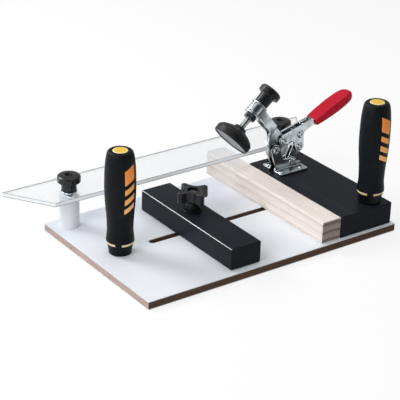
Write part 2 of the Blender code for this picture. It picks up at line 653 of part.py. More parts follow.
def make_clamp_base(clamp):
    flange_low = BLOCK_TOP_Z + CLEARANCE
    flange_high = flange_low + FLANGE_THICKNESS
    foot = flange_low + FLANGE_THICKNESS / 2
    plate = arc(ARM_PIVOT, EYE_RADIUS, 185, -5, 10) + [BASE_VALLEY]
    plate += arc(LINK_PIVOT, BASE_REAR_EYE_RADIUS, 125, -10, 6)
    plate += [(FLANGE_X[1] - FLANGE_CORNER, foot), (FLANGE_X[0] + FLANGE_CORNER, foot)]
    holes = [circle(ARM_PIVOT, PIN_HOLE_RADIUS), circle(LINK_PIVOT, PIN_HOLE_RADIUS)]
    for side, name in ((-1, "front"), (1, "back")):
        y_ends = sorted((side * PLATE_INNER, side * PLATE_OUTER))
        wall = plate_mesh([plate] + holes, *y_ends, upright=True)
        base = add_piece(f"clamp_base_{name}", wall, "zinc_steel", clamp)
        flange_y = sorted((side * (PLATE_INNER + PLATE_OUTER) / 2, side * FLANGE_REACH))
        flange = rounded_rectangle((FLANGE_X[0], flange_y[0]), (FLANGE_X[1], flange_y[1]),
                                   FLANGE_CORNER / 3)
        screw_y = side * FLANGE_SCREW_OFFSET
        screw_holes = [circle((x, screw_y), FLANGE_SCREW_RADIUS + HOLE_MARGIN, 8) for x in FLANGE_SCREW_X]
        combine(base, plate_mesh([flange] + screw_holes, flange_low, flange_high), "UNION")
        for end, x in zip(("left", "right"), FLANGE_SCREW_X):
            head_low = flange_high + CLEARANCE
            head_high = head_low + FLANGE_SCREW_HEAD_HEIGHT
            point = BLOCK_TOP_Z - FLANGE_SCREW_DEPTH
            profile = [(0, head_high), (FLANGE_SCREW_HEAD_RADIUS * HEAD_FLAT, head_high),
                       (FLANGE_SCREW_HEAD_RADIUS, head_low), (FLANGE_SCREW_RADIUS, head_low),
                       (FLANGE_SCREW_RADIUS, point + FLANGE_SCREW_POINT), (0, point)]
            screw = add_turned(f"flange_screw_{name}_{end}", profile, "zinc_steel", clamp, steps=8)
            screw.location = (x, screw_y, 0)
    add_pin("arm_pivot_pin", ARM_PIVOT, PLATE_OUTER, clamp)
    add_pin("link_pivot_pin", LINK_PIVOT, PLATE_OUTER, clamp)


def make_clamp_arm(clamp):
    # Drawn with the arm level, as it stands when the clamp is shut.
    arm = add_frame("clamp_arm_pivot", (ARM_PIVOT[0], 0, ARM_PIVOT[1]), clamp, turn_y=ARM_OPEN_ANGLE)
    nose, nose_z = ARM_NOSE
    side_view = arc((0, 0), ARM_EYE_RADIUS, 238, 350, 8)
    side_view += arc(LEVER_PIVOT_ON_ARM, LEVER_EYE_RADIUS, 0, 60, 3)
    side_view += [(ARM_BEND_X, ARM_BAR_HIGH), (nose - FAR, ARM_BAR_HIGH)]
    side_view += [(nose - FAR, ARM_BAR_LOW), (ARM_HEEL_X, ARM_BAR_LOW)]
    holes = [circle((0, 0), PIN_HOLE_RADIUS), circle(LEVER_PIVOT_ON_ARM, PIN_HOLE_RADIUS)]
    half = ARM_HALF_WIDTH + OVERCUT
    strip = plate_mesh([side_view] + holes, -half, half, upright=True)
    body = add_piece("clamp_arm", strip, "zinc_steel", arm)
    inside = ARM_HALF_WIDTH - ARM_STRIP
    top_view = arc((nose, 0), ARM_HALF_WIDTH, 90, 270, 10)
    top_view += [(ARM_SPREAD_X, -ARM_HALF_WIDTH), (ARM_BEND_X, -MIDDLE_HALF), (FAR, -MIDDLE_HALF)]
    top_view += [(FAR, MIDDLE_HALF), (ARM_BEND_X, MIDDLE_HALF), (ARM_SPREAD_X, ARM_HALF_WIDTH)]
    opening = arc((nose, 0), inside, 90, 270, 8)
    opening += [(ARM_SPREAD_X - ARM_STRIP / 2, -inside), (ARM_FORK_X, -ARM_FORK_HALF)]
    opening += [(ARM_FORK_X, ARM_FORK_HALF), (ARM_SPREAD_X - ARM_STRIP / 2, inside)]
    combine(body, plate_mesh([top_view, opening], -FAR, FAR), "INTERSECT")

    # The spindle leans a little towards the pivot.
    nose_frame = add_frame("clamp_nose", (nose, 0, nose_z), arm, turn_y=-NOSE_TILT)
    room = SPINDLE_RADIUS + HOLE_MARGIN

    def washer(bar_half):
        inner = bar_half + NOSE_WASHER_GAP
        outer = inner + NOSE_WASHER_THICKNESS
        hub = bar_half - NOSE_HUB_LENGTH
        return [(room, outer), (NOSE_WASHER_RADIUS, outer), (NOSE_WASHER_RADIUS, inner),
                (NOSE_HUB_RADIUS, inner), (NOSE_HUB_RADIUS, hub), (room, hub)]

    upper = washer(ARM_BAR_HIGH - nose_z)
    lower = [(radius, -height) for radius, height in washer(nose_z - ARM_BAR_LOW)[::-1]]
    add_turned("upper_nose_washer", upper, "zinc_steel", nose_frame, closed=True)
    add_turned("lower_nose_washer", lower, "zinc_steel", nose_frame, closed=True)
    nut_high = lower[-1][1] - CLEARANCE
    nut_low = nut_high - LOCK_NUT_HEIGHT
    hexagon = rods_mesh([(0, 0)], LOCK_NUT_RADIUS, nut_low, nut_high, sides=6)
    nut = add_piece("lock_nut", hexagon, "zinc_steel", nose_frame)
    combine(nut, rods_mesh([(0, 0)], room, nut_low - OVERCUT, nut_high + OVERCUT))
    make_pad(nose_frame)
    return arm


def make_pad(nose_frame):
    pad = add_frame("pad_slide", (0, 0, 0), nose_frame)
    room = SPINDLE_RADIUS + HOLE_MARGIN
    rim_high = PAD_LOW + PAD_RIM_HEIGHT
    face_room = PAD_FACE_RADIUS + HOLE_MARGIN
    face_high = PAD_LOW + PAD_FACE_THICKNESS
    bore_low = SPINDLE_LOW - CLEARANCE
    profile = [
        (0, bore_low), (room, bore_low), (room, PAD_HIGH), (PAD_NECK_RADIUS - PAD_EDGE, PAD_HIGH),
        (PAD_NECK_RADIUS, PAD_HIGH - PAD_EDGE), (PAD_NECK_RADIUS + PAD_EDGE, PAD_HIGH - PAD_NECK_HEIGHT),
        *PAD_DOME, (PAD_RADIUS - PAD_EDGE, rim_high), (PAD_RADIUS, rim_high - PAD_EDGE),
        (PAD_RADIUS, PAD_LOW + PAD_EDGE), (PAD_RADIUS - PAD_EDGE, PAD_LOW),
        (face_room, PAD_LOW), (face_room, face_high + CLEARANCE),
        (0, face_high + CLEARANCE),
    ]
    add_turned("rubber_pad", profile, "black_rubber", pad, steps=24)
    face = [(0, face_high), (PAD_FACE_RADIUS, face_high), (PAD_FACE_RADIUS, PAD_LOW), (0, PAD_LOW)]
    add_turned("pad_face", face, "grey_rubber", pad, steps=24)
    turn = add_frame("spindle_axis", (0, 0, 0), pad)
    add_piece("spindle", rods_mesh([(0, 0)], SPINDLE_RADIUS, SPINDLE_LOW, SPINDLE_HIGH), "zinc_steel", turn)
    add_knob("spindle_knob", SPINDLE_KNOB_LOW, SPINDLE_KNOB_HEIGHT, room, turn)


def make_link(clamp):
    # Drawn upright from its foot, then leaned over to the lever's lower pin.
    lever_turn = math.radians(LEVER_ANGLE)
    arm_turn = math.radians(-ARM_OPEN_ANGLE)
    pin = [0, 0]
    for (x, z), turn in ((LEVER_PIVOT_ON_ARM, arm_turn), (LEVER_LINK_PIN, lever_turn)):
        pin[0] += x * math.cos(turn) - z * math.sin(turn)
        pin[1] += x * math.sin(turn) + z * math.cos(turn)
    across = ARM_PIVOT[0] + pin[0] - LINK_PIVOT[0]
    up = ARM_PIVOT[1] + pin[1] - LINK_PIVOT[1]
    length = math.hypot(across, up)
    lean = math.degrees(math.atan2(across, up))
    pivot = add_frame("clamp_link_pivot", (LINK_PIVOT[0], 0, LINK_PIVOT[1]), clamp, turn_y=lean)
    outline = arc((0, length), LINK_EYE_RADIUS, -5, 185, 8) + arc((0, 0), SMALL_EYE_RADIUS, 185, 355, 8)
    holes = [circle((0, 0), PIN_HOLE_RADIUS), circle((0, length), LINK_OPEN_RADIUS)]
    add_piece("clamp_link", plate_mesh([outline] + holes, -MIDDLE_HALF, MIDDLE_HALF, upright=True),
              "zinc_steel", pivot)


def bent(points):
    # Turns points of the lever's side view up with the grip's bend.
    turn = Matrix.Rotation(math.radians(RED_GRIP_BEND), 2)
    middle = Vector((RED_GRIP_BEND_X, 0))
    return [tuple(middle + turn @ (Vector(point) - middle)) for point in points]


def make_lever(arm):
    place = (LEVER_PIVOT_ON_ARM[0], 0, LEVER_PIVOT_ON_ARM[1])
    lever = add_frame("clamp_lever_pivot", place, arm, turn_y=-LEVER_ANGLE - ARM_OPEN_ANGLE)
    outline = arc((0, 0), LEVER_EYE_RADIUS, 80, 270, 8)
    outline += [(LEVER_LINK_PIN[0] - LEVER_LOBE_RADIUS - OVERCUT, -LEVER_EYE_RADIUS)]
    outline += arc(LEVER_LINK_PIN, LEVER_LOBE_RADIUS, 175, 365, 8)
    outline += LEVER_LOW_EDGE
    outline += bent(rectangle((TANG_START, -TANG_HALF_DEPTH), (TANG_END, TANG_HALF_DEPTH)))
    outline += LEVER_TOP_EDGE
    holes = [circle(place_2d, PIN_HOLE_RADIUS) for place_2d in ((0, 0), LEVER_LINK_PIN, LEVER_SPACER_PIN)]
    channel = plate_mesh([outline] + holes, -PLATE_OUTER, PLATE_OUTER, upright=True)
    body = add_piece("clamp_lever", channel, "zinc_steel", lever)
    # Open between the two plates, with a web below in front of the grip.
    pocket = [(-FAR, -FAR), (LEVER_WEB_START, -FAR), (LEVER_WEB_START, LEVER_WEB_TOP),
              (LEVER_POCKET_END, LEVER_WEB_TOP), (LEVER_POCKET_END, FAR), (-FAR, FAR)]
    combine(body, plate_mesh([pocket], -PLATE_INNER, PLATE_INNER, upright=True))
    for name, pin in (("lever_pivot_pin", (0, 0)), ("lever_link_pin", LEVER_LINK_PIN),
                      ("lever_spacer_pin", LEVER_SPACER_PIN)):
        add_pin(name, pin, PLATE_OUTER, lever)

    rows = []
    for x, wide, deep in RED_GRIP_ROWS:
        section = arc((0, 0), 1.0, 0, 360 - 360 / RED_GRIP_SIDES, RED_GRIP_SIDES - 1)
        row = []
        for across, up in section:
            y = math.copysign(abs(across) ** RED_GRIP_SQUARE, across) * wide
            z = math.copysign(abs(up) ** RED_GRIP_SQUARE, up) * deep
            (bent_x, bent_z), = bent([(x, z)])
            row.append((bent_x, y, bent_z))
        rows.append(row)
    grip = add_piece("lever_grip", loft_mesh(rows), "red_vinyl", lever)
    tang_wide = PLATE_OUTER + CLEARANCE
    tang_deep = TANG_HALF_DEPTH + CLEARANCE
    tang_room = bent(rectangle((TANG_START - OVERCUT, -tang_deep), (TANG_END + CLEARANCE, tang_deep)))
    combine(grip, plate_mesh([tang_room], -tang_wide, tang_wide, upright=True))


def stand_on_origin(sled):
    # Puts the whole object's box centre over the origin.
    bpy.context.view_layer.update()
    graph = bpy.context.evaluated_depsgraph_get()
    points = []
    for piece in parts.objects:
        if piece.type == "MESH":
            shape = piece.evaluated_get(graph)
            points += [shape.matrix_world @ vertex.co for vertex in shape.data.vertices]
    middle = [(min(p[i] for p in points) + max(p[i] for p in points)) / 2 for i in (0, 1)]
    sled.location = (-middle[0], -middle[1], 0)


def main():
    sled = add_frame("sled", (0, 0, 0))
    make_board(sled)
    make_fixed_side(sled)
    make_sliding_fence(sled)
    make_hand_grip("left", BOARD_TOP, sled)
    make_hand_grip("right", BLOCK_TOP_Z + CLEARANCE, sled)
    make_guide(sled)
    clamp = add_frame("clamp", (0, CLAMP_Y, 0), sled)
    make_clamp_base(clamp)
    arm = make_clamp_arm(clamp)
    make_link(clamp)
    make_lever(arm)
    stand_on_origin(sled)


main()
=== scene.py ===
import math

import bmesh
import bpy
from mathutils import Matrix, Vector


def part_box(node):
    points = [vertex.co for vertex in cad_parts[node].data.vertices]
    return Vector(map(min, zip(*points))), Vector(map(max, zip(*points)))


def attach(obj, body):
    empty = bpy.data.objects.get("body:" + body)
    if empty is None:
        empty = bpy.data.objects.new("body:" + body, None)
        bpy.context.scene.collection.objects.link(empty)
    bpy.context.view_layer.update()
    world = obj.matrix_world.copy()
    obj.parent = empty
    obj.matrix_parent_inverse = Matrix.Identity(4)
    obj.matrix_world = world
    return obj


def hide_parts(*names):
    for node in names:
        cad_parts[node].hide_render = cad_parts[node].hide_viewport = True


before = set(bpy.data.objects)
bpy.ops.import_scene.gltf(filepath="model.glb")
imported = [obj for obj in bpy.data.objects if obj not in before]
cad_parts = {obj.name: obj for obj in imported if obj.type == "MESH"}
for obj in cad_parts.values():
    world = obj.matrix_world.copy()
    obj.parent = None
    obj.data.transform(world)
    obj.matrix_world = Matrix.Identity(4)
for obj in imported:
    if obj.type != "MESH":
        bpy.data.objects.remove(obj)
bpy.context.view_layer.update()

mm = 0.001  # all pieces are drawn in millimetres
tiny = 0.000001  # in metres, taken as nothing
crease = math.radians(38)  # edges sharper than this stay sharp
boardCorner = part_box("board_bottom_laminate")[0]
sledAxes = Matrix.Translation((boardCorner.x, boardCorner.y, 0))  # front left corner of the underside


def feed(tree, socket, value):
    if isinstance(value, bpy.types.NodeSocket):
        tree.links.new(value, socket)
    else:
        socket.default_value = value


def addNode(tree, kind, sockets=None, **options):
    made = tree.nodes.new("ShaderNode" + kind)
    for option, value in options.items():
        setattr(made, option, value)
    for name, value in (sockets or {}).items():
        feed(tree, made.inputs[name], value)
    return made


def sums(tree, operation, *values):
    made = addNode(tree, "Math", operation=operation)
    for socket, value in zip(made.inputs, values):
        feed(tree, socket, value)
    return made.outputs[0]


def times(tree, first, second):
    return sums(tree, "MULTIPLY", first, second)


def remap(tree, value, low, high, toLow=0.0, toHigh=1.0):
    made = addNode(tree, "MapRange", {"Value": value, "From Min": low, "From Max": high,
                                      "To Min": toLow, "To Max": toHigh})
    return made.outputs["Result"]


def mixColours(tree, factor, first, second, blend="MIX"):
    made = addNode(tree, "Mix", data_type="RGBA", blend_type=blend)
    for index, value in ((0, factor), (6, first), (7, second)):
        feed(tree, made.inputs[index], value)
    return made.outputs[2]


def noiseAt(tree, vector, scale, detail=2.0, roughness=0.5):
    made = addNode(tree, "TexNoise", {"Vector": vector, "Scale": scale, "Detail": detail,
                                      "Roughness": roughness})
    return made.outputs[0]


def stretched(tree, vector, scale, turn=(0.0, 0.0, 0.0)):
    return addNode(tree, "Mapping", {"Vector": vector, "Scale": scale, "Rotation": turn}).outputs[0]


def startGroup(name, inputs, outputs):
    group = bpy.data.node_groups.new(name, "ShaderNodeTree")
    for socketName, value in inputs.items():
        socket = group.interface.new_socket(socketName, in_out="INPUT", socket_type="NodeSocketFloat")
        socket.default_value = value
    for socketName in outputs:
        group.interface.new_socket(socketName, in_out="OUTPUT", socket_type="NodeSocketFloat")
    return group, group.nodes.new("NodeGroupInput").outputs, group.nodes.new("NodeGroupOutput").inputs


def useGroup(tree, group, values):
    made = tree.nodes.new("ShaderNodeGroup")
    made.node_tree = group
    for name, value in values.items():
        feed(tree, made.inputs[name], value)
    return made.outputs


# Spans are the parts of a noise or an angle that an effect stretches to the full range.
effects = {"grainNoise": (3.0, 0.6), "patchDetail": 4.0, "patchSpan": (0.32, 0.68), "edgeSpan": (0.995, 0.93),
           "edgeSamples": 4, "breakDetail": 3.0, "breakSpan": (0.38, 0.62, 0.25, 1.0),
           "markWays": ((0.6, 0.02), (-0.9, 0.03), (2.0, 0.025)), "markTilt": 0.3, "markSpan": (0.68, 0.74),
           "upSpan": (0.55, 1.0), "speckNoise": (5.0, 0.7), "speckSpan": (0.52, 0.78), "hollowSamples": 8,
           "hollowSpan": (0.9, 0.35)}


def makeMouldedGrain():  # fine surface grain and slow patches of tone
    group, given, result = startGroup("mouldedGrain", {"Grain Scale": 900.0, "Patch Scale": 40.0},
                                      ("Height", "Patches"))
    coords = addNode(group, "TexCoord").outputs["Object"]
    group.links.new(noiseAt(group, coords, given["Grain Scale"], *effects["grainNoise"]), result["Height"])
    patches = noiseAt(group, coords, given["Patch Scale"], effects["patchDetail"])
    group.links.new(remap(group, patches, *effects["patchSpan"]), result["Patches"])
    return group


def makeEdgeWear():  # rubbed edges, broken up so that they aren't even
    group, given, result = startGroup("edgeWear", {"Radius": 0.0006, "Breakup Scale": 300.0,
                                                   "Amount": 1.0}, ("Mask",))
    rounded = addNode(group, "Bevel", {"Radius": given["Radius"]}, samples=effects["edgeSamples"])
    flat = addNode(group, "NewGeometry")
    dot = addNode(group, "VectorMath", {0: rounded.outputs["Normal"], 1: flat.outputs["Normal"]},
                  operation="DOT_PRODUCT")
    edge = remap(group, dot.outputs["Value"], *effects["edgeSpan"])
    coords = addNode(group, "TexCoord").outputs["Object"]
    breakup = noiseAt(group, coords, given["Breakup Scale"], effects["breakDetail"])
    broken = remap(group, breakup, *effects["breakSpan"])
    group.links.new(times(group, times(group, edge, broken), given["Amount"]), result["Mask"])
    return group


def makeHandlingMarks():  # hair scratches in three directions
    group, given, result = startGroup("handlingMarks", {"Scale": 60.0, "Amount": 1.0}, ("Mask",))
    coords = addNode(group, "TexCoord").outputs["Object"]
    marks = 0.0
    for turn, width in effects["markWays"]:
        laid = stretched(group, coords, (1.0, width, 1.0), (turn, effects["markTilt"], turn))
        line = remap(group, noiseAt(group, laid, given["Scale"]), *effects["markSpan"])
        marks = sums(group, "MAXIMUM", line, marks)
    group.links.new(times(group, marks, given["Amount"]), result["Mask"])
    return group


def makeSettledDust():  # a little dust on what faces up
    group, given, result = startGroup("settledDust", {"Scale": 180.0, "Amount": 1.0}, ("Mask",))
    normal = addNode(group, "NewGeometry").outputs["Normal"]
    up = remap(group, addNode(group, "SeparateXYZ", {0: normal}).outputs["Z"], *effects["upSpan"])
    coords = addNode(group, "TexCoord").outputs["Object"]
    specks = noiseAt(group, coords, given["Scale"], *effects["speckNoise"])
    specks = remap(group, specks, *effects["speckSpan"])
    group.links.new(times(group, times(group, up, specks), given["Amount"]), result["Mask"])
    return group


def makePaintedHollowShade():  # painted shade: darker where plates stand close together, where little light reaches
    group, given, result = startGroup("paintedHollowShade", {"Reach": 0.007}, ("Mask",))
    opened = addNode(group, "AmbientOcclusion", {"Distance": given["Reach"]},
                     samples=effects["hollowSamples"])
    group.links.new(remap(group, opened.outputs["AO"], *effects["hollowSpan"]), result["Mask"])
    return group


mouldedGrain = makeMouldedGrain()
edgeWear = makeEdgeWear()
handlingMarks = makeHandlingMarks()
settledDust = makeSettledDust()
paintedHollowShade = makePaintedHollowShade()


def startMaterial(name):
    material = bpy.data.materials.new(name)
    material.use_nodes = True
    tree = material.node_tree
    return material, tree, tree.nodes["Principled BSDF"]


def finishSurface(tree, shader, colour, rough, height, bump, plain, bumpDepth=0.0002):
    lifted = addNode(tree, "Bump", {"Height": height, "Strength": bump, "Distance": bumpDepth})
    for name, value in (("Base Color", colour), ("Roughness", rough), ("Normal", lifted.outputs["Normal"])):
        feed(tree, shader.inputs[name], value)
    for name, value in plain.items():  # sockets with one fixed value
        shader.inputs[name].default_value = value


plainLook = {"grain": 1200.0, "patch": 45.0, "bump": 0.08, "edge": 0.0006, "wear": 0.2, "marks": 0.1,
             "markScale": 70.0, "markRough": 0.2, "dust": 0.04, "shine": 0.5, "paintedGlow": 0.0}


def mouldedFinish(name, look):  # its glow setting is painted light: an emission in the plastic's own colour, though the plastic is no lamp
    look = {**plainLook, **look}
    first, second, worn = ((*look[tone], 1) for tone in ("colour", "shade", "worn"))
    material, tree, shader = startMaterial(name)
    grain = useGroup(tree, mouldedGrain, {"Grain Scale": look["grain"], "Patch Scale": look["patch"]})
    wear = useGroup(tree, edgeWear, {"Radius": look["edge"], "Amount": look["wear"]})["Mask"]
    marks = useGroup(tree, handlingMarks, {"Scale": look["markScale"], "Amount": look["marks"]})["Mask"]
    dust = useGroup(tree, settledDust, {"Amount": look["dust"]})["Mask"]
    colour = mixColours(tree, grain["Patches"], first, second)
    colour = mixColours(tree, wear, colour, worn)
    colour = mixColours(tree, sums(tree, "MAXIMUM", marks, dust), colour, worn)
    rough = remap(tree, grain["Patches"], 0.0, 1.0, *look["rough"])
    rough = sums(tree, "ADD", rough, times(tree, marks, look["markRough"]))
    finishSurface(tree, shader, colour, rough, grain["Height"], look["bump"], {
        "Specular IOR Level": look["shine"], "Emission Color": first, "Emission Strength": look["paintedGlow"]})
    return material


# deep is the painted shade colour laid into the hollows between plates
steelLook = {"bright": (0.80, 0.85, 0.88, 1), "dull": (0.46, 0.53, 0.57, 1), "edge": (0.93, 0.94, 0.96, 1),
             "deep": (0.10, 0.115, 0.13, 1), "reach": 0.007, "grain": 700.0, "patch": 130.0,
             "wearRadius": 0.0005, "wear": 0.7, "markScale": 160.0, "marks": 0.5, "markRough": 0.15,
             "rough": (0.10, 0.24), "bump": 0.02}


def makeSteel(name, look):
    look = {**steelLook, **look}
    material, tree, shader = startMaterial(name)
    grain = useGroup(tree, mouldedGrain, {"Grain Scale": look["grain"], "Patch Scale": look["patch"]})
    wear = useGroup(tree, edgeWear, {"Radius": look["wearRadius"], "Amount": look["wear"]})["Mask"]
    marks = useGroup(tree, handlingMarks, {"Scale": look["markScale"], "Amount": look["marks"]})["Mask"]
    # painted shade: the hollows between plates are darkened towards the deep colour
    hollowShadeMask = useGroup(tree, paintedHollowShade, {"Reach": look["reach"]})["Mask"]
    colour = mixColours(tree, grain["Patches"], look["bright"], look["dull"])
    colour = mixColours(tree, hollowShadeMask, colour, look["deep"])
    colour = mixColours(tree, wear, colour, look["edge"])
    rough = remap(tree, grain["Patches"], 0.0, 1.0, *look["rough"])
    rough = sums(tree, "ADD", rough, times(tree, marks, look["markRough"]))
    finishSurface(tree, shader, colour, rough, grain["Height"], look["bump"], {"Metallic": 1.0})
    return material


# Each noise: stretch along the stick, scale, detail and, where it isn't 0.5, roughness.
woodLook = {"early": (0.95, 0.885, 0.835, 1), "late": (0.62, 0.48, 0.395, 1),
            "blush": (0.885, 0.805, 0.75, 1), "fleck": (0.50, 0.37, 0.29, 1),
            "endTint": (0.49, 0.46, 0.45, 1), "endLine": (0.14, 0.11, 0.10, 1),
            "ringSpacing": 0.0096, "pith": (0.013, -0.1112), "ringRise": (0.35, 0.93),
            "ringFall": (1.0, 0.95), "ringPower": 2.2, "waver": 0.0050,
            "waverNoise": (0.22, 34.0, 3.0), "blushNoise": (0.1, 60.0, 3.0),
            "streakNoise": (0.012, 1500.0, 4.0, 0.65), "figureNoise": (0.07, 430.0, 4.0, 0.6),
            "figureTurn": (0.05, 0.0, 0.08), "poreNoise": (0.05, 900.0, 2.0), "blushShare": 0.55,
            "ringDepth": (0.42, 0.95), "streakShare": 0.5, "figureShare": 0.34, "poreShare": 0.5,
            "endLineShare": 0.75, "endSpan": (0.6, 0.9), "blushSpan": (0.35, 0.65),
            "streakSpan": (0.50, 0.80), "figureSpan": (0.47, 0.70), "poreSpan": (0.66, 0.74),
            "roughSpan": (0.3, 0.7), "rough": (0.50, 0.68), "wearRadius": 0.0009, "wear": 0.35,
            "poreHeight": 0.6, "bump": 0.25, "shine": 0.12}


def makePaleWood(look):
    material, tree, shader = startMaterial("paleWood")
    coords = addNode(tree, "TexCoord")
    place = coords.outputs["Object"]
    axis = addNode(tree, "SeparateXYZ", {0: place}).outputs

    def along(noise, turn=(0.0, 0.0, 0.0)):
        return noiseAt(tree, stretched(tree, place, (1.0, noise[0], 1.0), turn), *noise[1:])

    bend = times(tree, sums(tree, "SUBTRACT", along(look["waverNoise"]), 0.5), look["waver"])
    across = sums(tree, "ADD", sums(tree, "SUBTRACT", axis["X"], look["pith"][0]), bend)
    up = sums(tree, "SUBTRACT", axis["Z"], look["pith"][1])
    out = sums(tree, "SQRT", sums(tree, "ADD", times(tree, across, across), times(tree, up, up)))
    turn = sums(tree, "FRACT", sums(tree, "DIVIDE", sums(tree, "ADD", out, bend), look["ringSpacing"]))
    rise = sums(tree, "POWER", remap(tree, turn, *look["ringRise"]), look["ringPower"])
    ring = times(tree, rise, remap(tree, turn, *look["ringFall"]))
    facing = addNode(tree, "SeparateXYZ", {0: coords.outputs["Normal"]}).outputs["Y"]
    cutEnd = remap(tree, sums(tree, "ABSOLUTE", facing), *look["endSpan"])
    blush = remap(tree, along(look["blushNoise"]), *look["blushSpan"], 0.0, look["blushShare"])
    colour = mixColours(tree, blush, look["early"], look["blush"])
    depth = remap(tree, cutEnd, 0.0, 1.0, *look["ringDepth"])
    colour = mixColours(tree, times(tree, ring, depth), colour, look["late"])
    streak = along(look["streakNoise"])
    streaks = remap(tree, streak, *look["streakSpan"], 0.0, look["streakShare"])
    colour = mixColours(tree, streaks, colour, look["late"])
    figure = along(look["figureNoise"], look["figureTurn"])
    figure = remap(tree, figure, *look["figureSpan"], 0.0, look["figureShare"])
    colour = mixColours(tree, figure, colour, look["late"])
    pores = remap(tree, along(look["poreNoise"]), *look["poreSpan"])
    colour = mixColours(tree, times(tree, pores, look["poreShare"]), colour, look["fleck"])
    colour = mixColours(tree, cutEnd, colour, look["endTint"], "MULTIPLY")
    endLine = times(tree, times(tree, ring, cutEnd), look["endLineShare"])
    colour = mixColours(tree, endLine, colour, look["endLine"])
    wear = useGroup(tree, edgeWear, {"Radius": look["wearRadius"], "Amount": look["wear"]})["Mask"]
    colour = mixColours(tree, wear, colour, look["early"])
    height = sums(tree, "SUBTRACT", streak, times(tree, pores, look["poreHeight"]))
    rough = remap(tree, streak, *look["roughSpan"], *look["rough"])
    finishSurface(tree, shader, colour, rough, height, look["bump"], {"Specular IOR Level": look["shine"]})
    return material


# The two facing tints are painted light and shade: faces along X are multiplied paler, faces along Y darker.
fibreLook = {"light": (0.33, 0.225, 0.170, 1), "dark": (0.19, 0.125, 0.092, 1),
             "paintedEndLight": (2.0, 2.3, 2.75, 1), "paintedSideShade": (0.50, 0.45, 0.42, 1), "tones": (0.36, 0.62),
             "fibres": ((0.16, 0.16, 1.4), 1500.0, 5.0, 0.7), "fibreShare": 0.6,  # stretch, then the noise
             "layers": ((0.04, 0.04, 1.0), 900.0, 3.0), "layerShare": 0.4, "facing": (0.5, 0.8),
             "roughSpan": (0.3, 0.7), "rough": (0.72, 0.92), "bump": 0.4, "bumpDepth": 0.0003, "shine": 0.2}


def makeFibreboard(look):
    material, tree, shader = startMaterial("fibreboardCore")
    coords = addNode(tree, "TexCoord")
    place = coords.outputs["Object"]
    fibres, layers = (noiseAt(tree, stretched(tree, place, stretch), *noise)
                      for stretch, *noise in (look["fibres"], look["layers"]))
    mixed = sums(tree, "ADD", times(tree, fibres, look["fibreShare"]),
                 times(tree, layers, look["layerShare"]))
    colour = mixColours(tree, remap(tree, mixed, *look["tones"]), look["dark"], look["light"])
    normal = addNode(tree, "SeparateXYZ", {0: coords.outputs["Normal"]}).outputs
    for way, tint in (("X", "paintedEndLight"), ("Y", "paintedSideShade")):  # painted light and shade: faces along X are painted paler, faces along Y darker
        facing = remap(tree, sums(tree, "ABSOLUTE", normal[way]), *look["facing"])
        colour = mixColours(tree, facing, colour, look[tint], "MULTIPLY")
    rough = remap(tree, fibres, *look["roughSpan"], *look["rough"])
    finishSurface(tree, shader, colour, rough, fibres, look["bump"], {"Specular IOR Level": look["shine"]},
                  look["bumpDepth"])
    return material


sheetLook = {"tint": (0.965, 0.98, 0.99, 1), "shadow": (0.90, 0.92, 0.94, 1), "rough": (0.008, 0.03),
             "clear": 0.82, "bending": 1.49, "patch": 25.0, "markScale": 90.0, "marks": 0.12}


def makeClearSheet(look):
    material, tree, shader = startMaterial("clearSheet")
    patches = useGroup(tree, mouldedGrain, {"Patch Scale": look["patch"]})["Patches"]
    marks = useGroup(tree, handlingMarks, {"Scale": look["markScale"], "Amount": look["marks"]})["Mask"]
    rough = sums(tree, "ADD", remap(tree, patches, 0.0, 1.0, *look["rough"]), marks)
    feed(tree, shader.inputs["Roughness"], rough)
    shader.inputs["Base Color"].default_value = look["tint"]
    shader.inputs["Transmission Weight"].default_value = look["clear"]  # the rest is a pale haze
    shader.inputs["IOR"].default_value = look["bending"]
    through = addNode(tree, "BsdfTransparent", {"Color": look["shadow"]})  # light reaches what is below
    path = addNode(tree, "LightPath").outputs
    passing = sums(tree, "MAXIMUM", path["Is Shadow Ray"], path["Is Diffuse Ray"])
    both = addNode(tree, "MixShader", {0: passing, 1: shader.outputs[0], 2: through.outputs[0]})
    feed(tree, tree.nodes["Material Output"].inputs["Surface"], both.outputs[0])
    return material


windowLook = {"high": (0.95, 0.25, 0.035, 1), "low": (1.0, 0.55, 0.18, 1), "rim": (0.93, 0.76, 0.45, 1),
              "heights": (0.055, 0.10), "rough": (0.30, 0.45), "paintedGlow": 0.15, "grain": 1000.0,
              "patch": 150.0, "patchShare": 0.15, "wearRadius": 0.0007, "wear": 0.8, "bump": 0.06,
              "shine": 0.2}


def makeGripOrange(look):  # redder towards the top of the grip
    material, tree, shader = startMaterial("gripOrange")
    grain = useGroup(tree, mouldedGrain, {"Grain Scale": look["grain"], "Patch Scale": look["patch"]})
    wear = useGroup(tree, edgeWear, {"Radius": look["wearRadius"], "Amount": look["wear"]})["Mask"]
    place = addNode(tree, "TexCoord").outputs["Object"]
    height = remap(tree, addNode(tree, "SeparateXYZ", {0: place}).outputs["Z"], *look["heights"])
    colour = mixColours(tree, height, look["low"], look["high"])
    colour = mixColours(tree, times(tree, grain["Patches"], look["patchShare"]), colour, look["low"])
    colour = mixColours(tree, wear, colour, look["rim"])
    rough = remap(tree, grain["Patches"], 0.0, 1.0, *look["rough"])
    # painted light: the orange windows glow in their own colour, though they are no lamp
    feed(tree, shader.inputs["Emission Color"], colour)
    finishSurface(tree, shader, colour, rough, grain["Height"], look["bump"], {
        "Specular IOR Level": look["shine"], "Emission Strength": look["paintedGlow"]})
    return material


